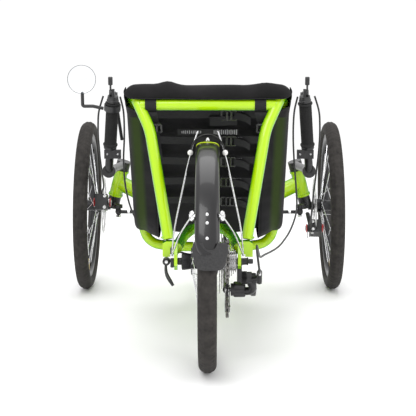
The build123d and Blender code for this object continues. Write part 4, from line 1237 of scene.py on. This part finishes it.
def cage_plate(x, name, material):
    """A long dog-bone plate round both pulley bolts."""
    top, low = Vector((x, upper_centre.y, upper_centre.z)), Vector((x, lower_centre.y, lower_centre.z))
    way = (low - top).normalized()
    side = Vector((1, 0, 0)).cross(way)
    steps = 22
    outline = []
    for sign, spot in ((-1, top), (1, low)):
        for step in range(steps + 1):
            angle = math.pi * step / steps
            across = side * sign * -math.cos(angle)
            outline.append(spot + (across + way * sign * math.sin(angle)) * 0.0108)
        waist = spot.lerp(top if sign > 0 else low, 0.5)
        outline.append(waist + side * sign * 0.0068)
    thick = Vector((0.0009, 0, 0))
    size = len(outline)
    verts = [p - thick for p in outline] + [p + thick for p in outline]
    faces = [tuple(range(size)), tuple(reversed(range(size, 2 * size)))]
    faces += [(k, size + k, size + (k + 1) % size, (k + 1) % size) for k in range(size)]
    return add_mesh(name, verts, faces, material, "derailleur_cage", "black_alloy", sharp=40)


outer_plate = cage_plate(chain_x + 0.0045, "cage_outer_plate", black_alloy)
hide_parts("derailleur_cage")
cage_plate(chain_x - 0.0045, "cage_inner_plate", steel)
for name, spot in (("upper", upper_centre), ("lower", lower_centre)):
    shaft = [(-0.0054, 0.00001), (-0.0054, 0.0030), (0.0054, 0.0030), (0.0054, 0.0052), (0.0072, 0.0050),
             (0.0072, 0.0024), (0.0060, 0.00001)]
    add_mesh(f"pulley_bolt_{name}", *spin(spot, (1, 0, 0), shaft, 20, closed=False), polished,
             "derailleur_cage", "bright_steel")


def shape(name, outline, x_low, x_high, material, body, slot, rounding=0.0015):
    """A moulded plate: an outline in Y and Z, given thickness along X."""
    size = len(outline)
    verts = [Vector((x_low, p.y, p.z)) for p in outline] + [Vector((x_high, p.y, p.z)) for p in outline]
    faces = [tuple(reversed(range(size))), tuple(range(size, 2 * size))]
    faces += [(k, (k + 1) % size, size + (k + 1) % size, size + k) for k in range(size)]
    piece = add_mesh(name, verts, faces, material, body, slot, sharp=30)
    soften(piece, rounding)
    return piece


outer_link = [at(0, -16, 214), at(0, -2, 219), at(0, 8, 206), at(0, 30, 186), at(0, 36, 172), at(0, 24, 160),
              at(0, 10, 168), at(0, -12, 196)]
shape("derailleur_outer_link", outer_link, 0.094, 0.1065, black_alloy, "frame", "black_alloy", 0.003)
knuckle_shell = [at(0, 8, 190), at(0, 26, 194), at(0, 38, 184), at(0, 39, 168), at(0, 26, 158), at(0, 10,
                 162)]
shape("derailleur_lower_knuckle", knuckle_shell, 0.0565, 0.083, black_plastic, "frame", "black_plastic",
      0.003)
spring_parts = []
for count in range(5):
    coil = [(-0.0011 + 0.0024 * count, 0.0138), (0.0 + 0.0024 * count, 0.0149), (0.0011 + 0.0024 * count,
            0.0138)]
    spring_parts.append(spin(at(75, -6, 208), (1, 0, 0), coil, 30))
add_mesh("derailleur_b_knuckle_ribs", *gathered(spring_parts), black_alloy, "frame", "black_alloy")
for count, (x, y, z) in enumerate(((96, -6, 208), (107, 24, 174), (100, 4, 190))):
    head_profile = [(-0.002, 0.00001), (-0.002, 0.0042), (0.0014, 0.0042), (0.0022, 0.0032), (0.0022, 0.0020),
                    (0.0006, 0.00001)]
    add_mesh(f"derailleur_bolt_{count + 1}", *spin(at(x, y, z), (1, 0, 0), head_profile, 18, closed=False),
             polished, "frame", "bright_steel")
barrel = [(0, 0.00001), (0, 0.0040), (0.003, 0.0046), (0.010, 0.0046), (0.013, 0.0036), (0.017, 0.0034),
          (0.017, 0.00001)]
add_mesh("derailleur_barrel", *spin(at(112, -38, 230), (0, 0.55, -0.83), barrel, 16, closed=False),
         black_plastic, "frame", "black_plastic")

# Cranks and pedals: forged black arms on a through spindle, and caged pedals
# with a row of grip pins round each frame.
coat("crank_arms", black_alloy)
for side in ("left", "right"):
    coat(f"pedal_{side}", black_plastic)
    low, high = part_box(f"pedal_{side}")
    parts = []
    middle = (low + high) / 2
    for face in (-1, 1):
        for k in range(5):
            for edge in (-1, 1):
                foot = Vector((middle.x - 0.034 + 0.017 * k, middle.y + face * 0.0115,
                              middle.z + edge * 0.0430))
                parts.append(stick(foot, foot + Vector((0, face * 0.0040, 0)), 0.0016, 8))
    add_mesh(f"pedal_pins_{side}", *gathered(parts), polished, f"pedal_{side}", "bright_steel")
for side, sign in (("right", 1), ("left", -1)):
    arm_low, arm_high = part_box("crank_arms")
    x = arm_high.x if sign > 0 else arm_low.x
    cap = [(0, 0.00001), (0, 0.0105), (0.0018, 0.0105), (0.0026, 0.0092), (0.0016, 0.0050), (0.0004, 0.00001)]
    add_mesh(f"crank_cap_{side}", *spin(Vector((x - sign * 0.0004, ring_centre.y, ring_centre.z)), (sign, 0,
             0), cap, 30, closed=False), steel, "crankset", "bright_steel")

# Knuckles and tie rod: black forged steering knuckles on bronze-faced kingpins,
# joined by a threaded rod with rubber-booted ball joints.
for side in ("left", "right"):
    coat(f"knuckle_{side}", black_alloy)
    coat(f"handlebar_{side}", black_alloy)
    coat(f"brake_caliper_{side}", black_plastic)
coat("tie_rod", black_alloy)
TIE_Z = 0.235
for side, sign in (("left", -1), ("right", 1)):
    eye = Vector((sign * 0.258, rear_centre.y + 0.850, TIE_Z))
    for name, spot, profile, material in (
            ("boot", eye + Vector((0, 0, 0.0005)),
             [(0, 0.0088), (0.0022, 0.0094), (0.0040, 0.0080), (0.0052, 0.0086), (0.0074, 0.0066), (0.0090, 0.0060),
              (0.0090, 0.0042), (0, 0.0042)], flap_rubber),
            ("nut", eye + Vector((0, 0, -0.0142)),
             [(0, 0.0041), (0, 0.0076), (0.0052, 0.0076), (0.0052, 0.0041)], polished)):
        add_mesh(f"tie_rod_{name}_{side}", *spin(spot, (0, 0, 1), profile, 6 if name == "nut" else 26),
                 material, "tie_rod", "black_alloy", smooth=name != "nut")
    jam = [(0, 0.0052), (0, 0.0082), (0.006, 0.0082), (0.006, 0.0052)]
    add_mesh(f"tie_rod_jam_nut_{side}", *spin(eye - Vector((sign * 0.026, 0, 0)), (-sign, 0, 0), jam, 6),
             polished, "tie_rod", "bright_steel", smooth=False)

# Grips: black rubber sleeves with a fine ribbed middle, thick collars at both
# ends and a flat bar-end housing above for the thumb shifter.
grip_rubber = textured("grip_rubber", (0.012, 0.012, 0.012), (0.022, 0.022, 0.022), 0.7, 320, bump=0.2,
                       reach=0.0003, shine=0.25)
GRIP_LOW = Vector((0.2645, rear_centre.y + 0.668, 0.440))
GRIP_TOP = Vector((0.254, rear_centre.y + 0.630, 0.557))


def flipped(point, sign):
    return Vector((point[0] * sign, point[1], point[2]))


def grip_piece(side, sign):
    low, top = flipped(GRIP_LOW, sign), flipped(GRIP_TOP, sign)
    length = (top - low).length
    profile = [(0, 0.0114), (0, 0.0186), (0.0015, 0.0195), (0.0045, 0.0195), (0.0060, 0.0178)]
    ribs = 30
    for k in range(ribs):
        start = 0.0080 + (length - 0.016) * k / ribs
        pitch = (length - 0.016) / ribs
        profile += [(start, 0.0158), (start + pitch * 0.15, 0.0167), (start + pitch * 0.60, 0.0167),
                    (start + pitch * 0.75, 0.0158)]
    profile += [(length - 0.0060, 0.0178), (length - 0.0045, 0.0195), (length - 0.0012, 0.0195), (length,
                0.0184), (length, 0.0114)]
    piece = add_mesh(f"hand_grip_{side}", *spin(low, top - low, profile, 40), grip_rubber,
                     f"steering_{side}", "black_rubber", sharp=38)
    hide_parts(f"grip_{side}")
    bar_way = (top - low).normalized()
    clamp = [(0, 0.0115), (0, 0.0168), (0.001, 0.0175), (0.0065, 0.0175), (0.0075, 0.0168), (0.0075, 0.0115)]
    add_mesh(f"grip_clamp_{side}", *spin(low - bar_way * 0.0085, bar_way, clamp, 32), black_alloy,
             f"steering_{side}", "black_alloy")
    housing = [(0.0005, 0.00001), (0.0005, 0.0150), (0.002, 0.0162), (0.0075, 0.0162), (0.0088, 0.0150),
               (0.010, 0.0150), (0.0168, 0.0142), (0.0185, 0.0122), (0.0190, 0.00001)]
    add_mesh(f"shifter_housing_{side}", *spin(top, bar_way, housing, 36, closed=False), black_plastic,
             f"steering_{side}", "black_plastic")


for side, sign in (("left", -1), ("right", 1)):
    grip_piece(side, sign)
    low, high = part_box(f"shift_lever_{side}")
    coat(f"shift_lever_{side}", black_plastic)
    coat(f"brake_lever_{side}", black_alloy)
    top = Vector(((low.x + high.x) / 2, (low.y + high.y) / 2, high.z - 0.008))
    shape(f"shift_paddle_{side}", [top + Vector((0, y, z)) for y, z in ((-0.0050, -0.014), (-0.0072, 0.002),
          (-0.0058, 0.0078), (0.0035, 0.0080), (0.0050, -0.002), (0.0036, -0.014))], top.x - 0.0058,
          top.x + 0.0058, black_plastic, f"shift_lever_{side}", "black_plastic", 0.0018)

# Gear cables: black housings from the thumb shifters down to the frame, one to
# the derailleur in a loop over the right dropout, one that stops under the spine.
RIGHT_GEAR = ((234, 627, 572), (226, 638, 530), (225, 656, 470), (229, 676, 402), (237, 705, 325), (238,
              690, 262), (218, 610, 222), (191, 510, 203), (172, 405, 206), (154, 295, 216), (132, 185,
              226), (118, 85, 238), (111, 10, 262), (106, -28, 282), (106, -62, 270), (110, -66, 240), (112,
              -41, 222))
LEFT_GEAR = ((-234, 627, 572), (-226, 638, 530), (-226, 658, 465), (-230, 680, 395), (-226, 700, 320),
             (-208, 695, 255), (-170, 650, 205), (-110, 590, 176), (-60, 560, 164), (-27, 550, 162))
for side, route, start, end in (("right", RIGHT_GEAR, (237, 705, 325), (191, 510, 203)),
                                ("left", LEFT_GEAR, (-226, 700, 320), (-170, 650, 205))):
    cable = add_mesh(f"gear_housing_{side}", *hose(through([at(*spot) for spot in route]), 0.0025),
                     black_plastic, None, "black_plastic")
    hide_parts(f"gear_cable_{side}")
    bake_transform(cable)
    tip = at(*route[-1])
    way = (at(*route[-2]) - tip).normalized()
    ferrule = [(-0.001, 0.0026), (-0.001, 0.0034), (0.009, 0.0034), (0.010, 0.0026)]
    add_mesh(f"cable_ferrule_{side}", *spin(tip, way, ferrule, 16), polished, "frame", "bright_steel")

# Mirror: a slightly domed round glass in a thin grey rim, on a black stalk that
# swivels at the end of an arm clamped round the left grip.
coat("mirror_arm", black_plastic)
glass, tree, shader = graph("mirror_glass")
shader.inputs["Base Color"].default_value = (0.97, 0.98, 1.0, 1)
shader.inputs["Metallic"].default_value = 1.0
shader.inputs["Roughness"].default_value = 0.03
mirror_grey = textured("mirror_rim", (0.10, 0.11, 0.12), (0.17, 0.18, 0.19), 0.35, 90, bump=0.03)
MIRROR = at(-337, 646, 617)
dish = [(0.0140, 0.00001), (0.0140, 0.0220), (0.0100, 0.0320), (0.0030, 0.0378), (-0.0006, 0.0380),
        (-0.0010, 0.0372), (0.0004, 0.0366), (0.0010, 0.00001)]
shell = add_mesh("mirror_shell", *gathered([spin(MIRROR, (0, 1, 0), dish, 72, closed=False),
                 stick(at(-335.5, 646, 578.5), at(-335.5, 650, 583), 0.0044, 16)]), mirror_grey, "mirror",
                 "black_plastic")
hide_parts("mirror_head")
lens_face = [(0.0004, 0.0367)] + [(-0.0012 + 0.0016 * (k / 10) ** 2, 0.0367 * k / 10) for k in range(9, 0,
             -1)]
add_mesh("mirror_glass_face", *spin(MIRROR, (0, 1, 0), lens_face + [(-0.0012, 0.00001)], 72, closed=False),
         glass, "mirror", "bright_steel", sharp=80)

# Disc calipers: a banded body on the rotor with a red pad-wear knob at each
# end, a pair of bright mounting bolts, and a cable arm with its anchor.
knob_red = textured("anodised_red", (0.42, 0.012, 0.016), (0.62, 0.03, 0.03), 0.32, 160, metallic=0.5,
                    bump=0.04)
for side, sign, y, z in (("right", 1, 900, 181), ("left", -1, 853, 262)):
    body = f"steering_{side}"
    out = wheel_axis[side] * sign
    disc_centre = wheel_centre[side] - out * DISC_INSET
    spot = Vector((disc_centre.x, rear_centre.y + y / 1000, z / 1000))
    ring_profile = [(0.0, 0.0075), (0.0, 0.0116), (0.0006, 0.0121), (0.0022, 0.0121), (0.0028, 0.0116),
                    (0.0028, 0.0075)]
    add_mesh(f"caliper_red_rings_{side}", *gathered([spin(spot - out * 0.0262, out, ring_profile, 36),
             spin(spot + out * 0.0192, out, ring_profile, 36)]), knob_red, body, "black_alloy")
    dial = [(-0.0030, 0.00001), (-0.0030, 0.0060), (-0.0022, 0.0072), (0.0, 0.0078), (0.0, 0.00001)]
    add_mesh(f"caliper_dial_{side}", *spin(spot - out * 0.0262, out, dial, 24, closed=False), steel, body,
             "bright_steel")
    radial = (spot - disc_centre).normalized()
    flank = out.cross(radial)
    bolts = []
    for along in (-0.016, 0.016):
        head = [(-0.0005, 0.00001), (-0.0005, 0.0046), (0.0036, 0.0046), (0.0042, 0.0038), (0.0042, 0.0024),
                (0.0022, 0.00001)]
        bolts.append(spin(spot + flank * along + radial * 0.0170 - out * 0.010, radial, head, 18,
                     closed=False))
        bolts.append(spin(spot + radial * (along * 0.7) - flank * 0.0222 - out * 0.008, -flank, head, 18,
                     closed=False))
    add_mesh(f"caliper_bolts_{side}", *gathered(bolts), polished, body, "bright_steel")
    arm = [spot - out * 0.0225 + flank * a + radial * b for a, b in
           ((-0.004, 0.004), (0.004, 0.006), (0.007, 0.026), (0.003, 0.030), (-0.003, 0.027))]
    verts = [p - out * 0.0012 for p in arm] + [p + out * 0.0012 for p in arm]
    faces = [(4, 3, 2, 1, 0), (5, 6, 7, 8, 9)] + [(k, (k + 1) % 5, 5 + (k + 1) % 5, 5 + k) for k in range(5)]
    add_mesh(f"caliper_cable_arm_{side}", verts, faces, steel, body, "bright_steel", smooth=False)

# Small hardware: painted plugs in the open stay ends, the accessory plate on the
# left axle end, and the bolts of the boom clamp, idler, lamp block and wheels.
for side, sign in (("left", -1), ("right", 1)):
    end = at(sign * 69, 20, 268)
    way = (at(sign * 57, 200, 268) - end).normalized()
    plug = [(-0.0055, 0.00001), (-0.0050, 0.0060), (-0.0030, 0.0100), (0.0, 0.0118), (0.004, 0.0118),
            (0.004, 0.00001)]
    add_mesh(f"stay_end_plug_{side}", *spin(end + way * 0.0005, way, plug, 30, closed=False), paint,
             "frame", "frame_paint")
    axis = wheel_axis[side] * sign
    cap = [(0.0, 0.0082), (0.0, 0.0150), (0.0016, 0.0158), (0.0040, 0.0140), (0.0058, 0.0090), (0.0060,
           0.00001), (0.0004, 0.00001)]
    add_mesh(f"axle_cap_{side}", *spin(wheel_centre[side] + axis * 0.0180, axis, cap, 32, closed=False),
             black_alloy, wheel_body[side], "black_alloy")
    lamp_bolts = []
    for x in (-0.014, 0.014):
        lamp_bolts.append(spin(at(sign * 258, 657, 417) + Vector((x, 0.0004, 0)), (0, -1, 0),
                               [(-0.001, 0.00001), (-0.001, 0.0026), (0.0014, 0.0026), (0.0020, 0.0016),
                                (0.0008, 0.00001)], 16, closed=False))
    add_mesh(f"bar_block_bolts_{side}", *gathered(lamp_bolts), steel, f"steering_{side}", "bright_steel")
plate = [at(0, -9, 274), at(0, 9, 274), at(0, 10, 250), at(0, 8, 230), at(0, -8, 230), at(0, -10, 250)]
shape("left_axle_plate", plate, -0.0812, -0.0732, black_alloy, "frame", "black_alloy")
hanger = [at(0, -17, 232), at(0, 15, 232), at(0, 6, 200), at(0, -16, 200)]
shape("hanger_outer_face", hanger, 0.0727, 0.0745, black_alloy, "frame", "black_alloy", 0.0006)
shape("hanger_inner_face", hanger, 0.0640, 0.0654, black_alloy, "frame", "black_alloy", 0.0006)
hanger_edge = [at(0, -16.5, 232), at(0, -12.4, 228), at(0, -15.6, 199.4), at(0, -18.5, 200)]
shape("hanger_rear_edge", hanger_edge, 0.0640, 0.0745, black_alloy, "frame", "black_alloy", 0.0006)
boom_way = Vector((0, math.cos(math.radians(24.2)), math.sin(math.radians(24.2))))
boom_up = Vector((0, -boom_way.z, boom_way.y))
clamp_end = at(0, 1290, 362) - boom_way * 0.227
clamp_bolts = []
for back in (0.014, 0.030):
    for sign in (-1, 1):
        head = [(-0.0005, 0.00001), (-0.0005, 0.0048), (0.0044, 0.0048), (0.0050, 0.0040), (0.0050, 0.0026),
                (0.0024, 0.00001)]
        clamp_bolts.append(spin(clamp_end - boom_way * back + boom_up * 0.036 + Vector((sign * 0.013, 0, 0)),
                                (sign, 0, 0), head, 20, closed=False))
head = [(-0.0005, 0.00001), (-0.0005, 0.0080), (0.0040, 0.0080), (0.0046, 0.0070), (0.0046, 0.0032),
        (0.0020, 0.00001)]
clamp_bolts.append(spin(idler_centre + Vector((0.0060, 0, 0)), (1, 0, 0), head, 24, closed=False))
add_mesh("frame_bolts", *gathered(clamp_bolts), polished, "frame", "bright_steel")
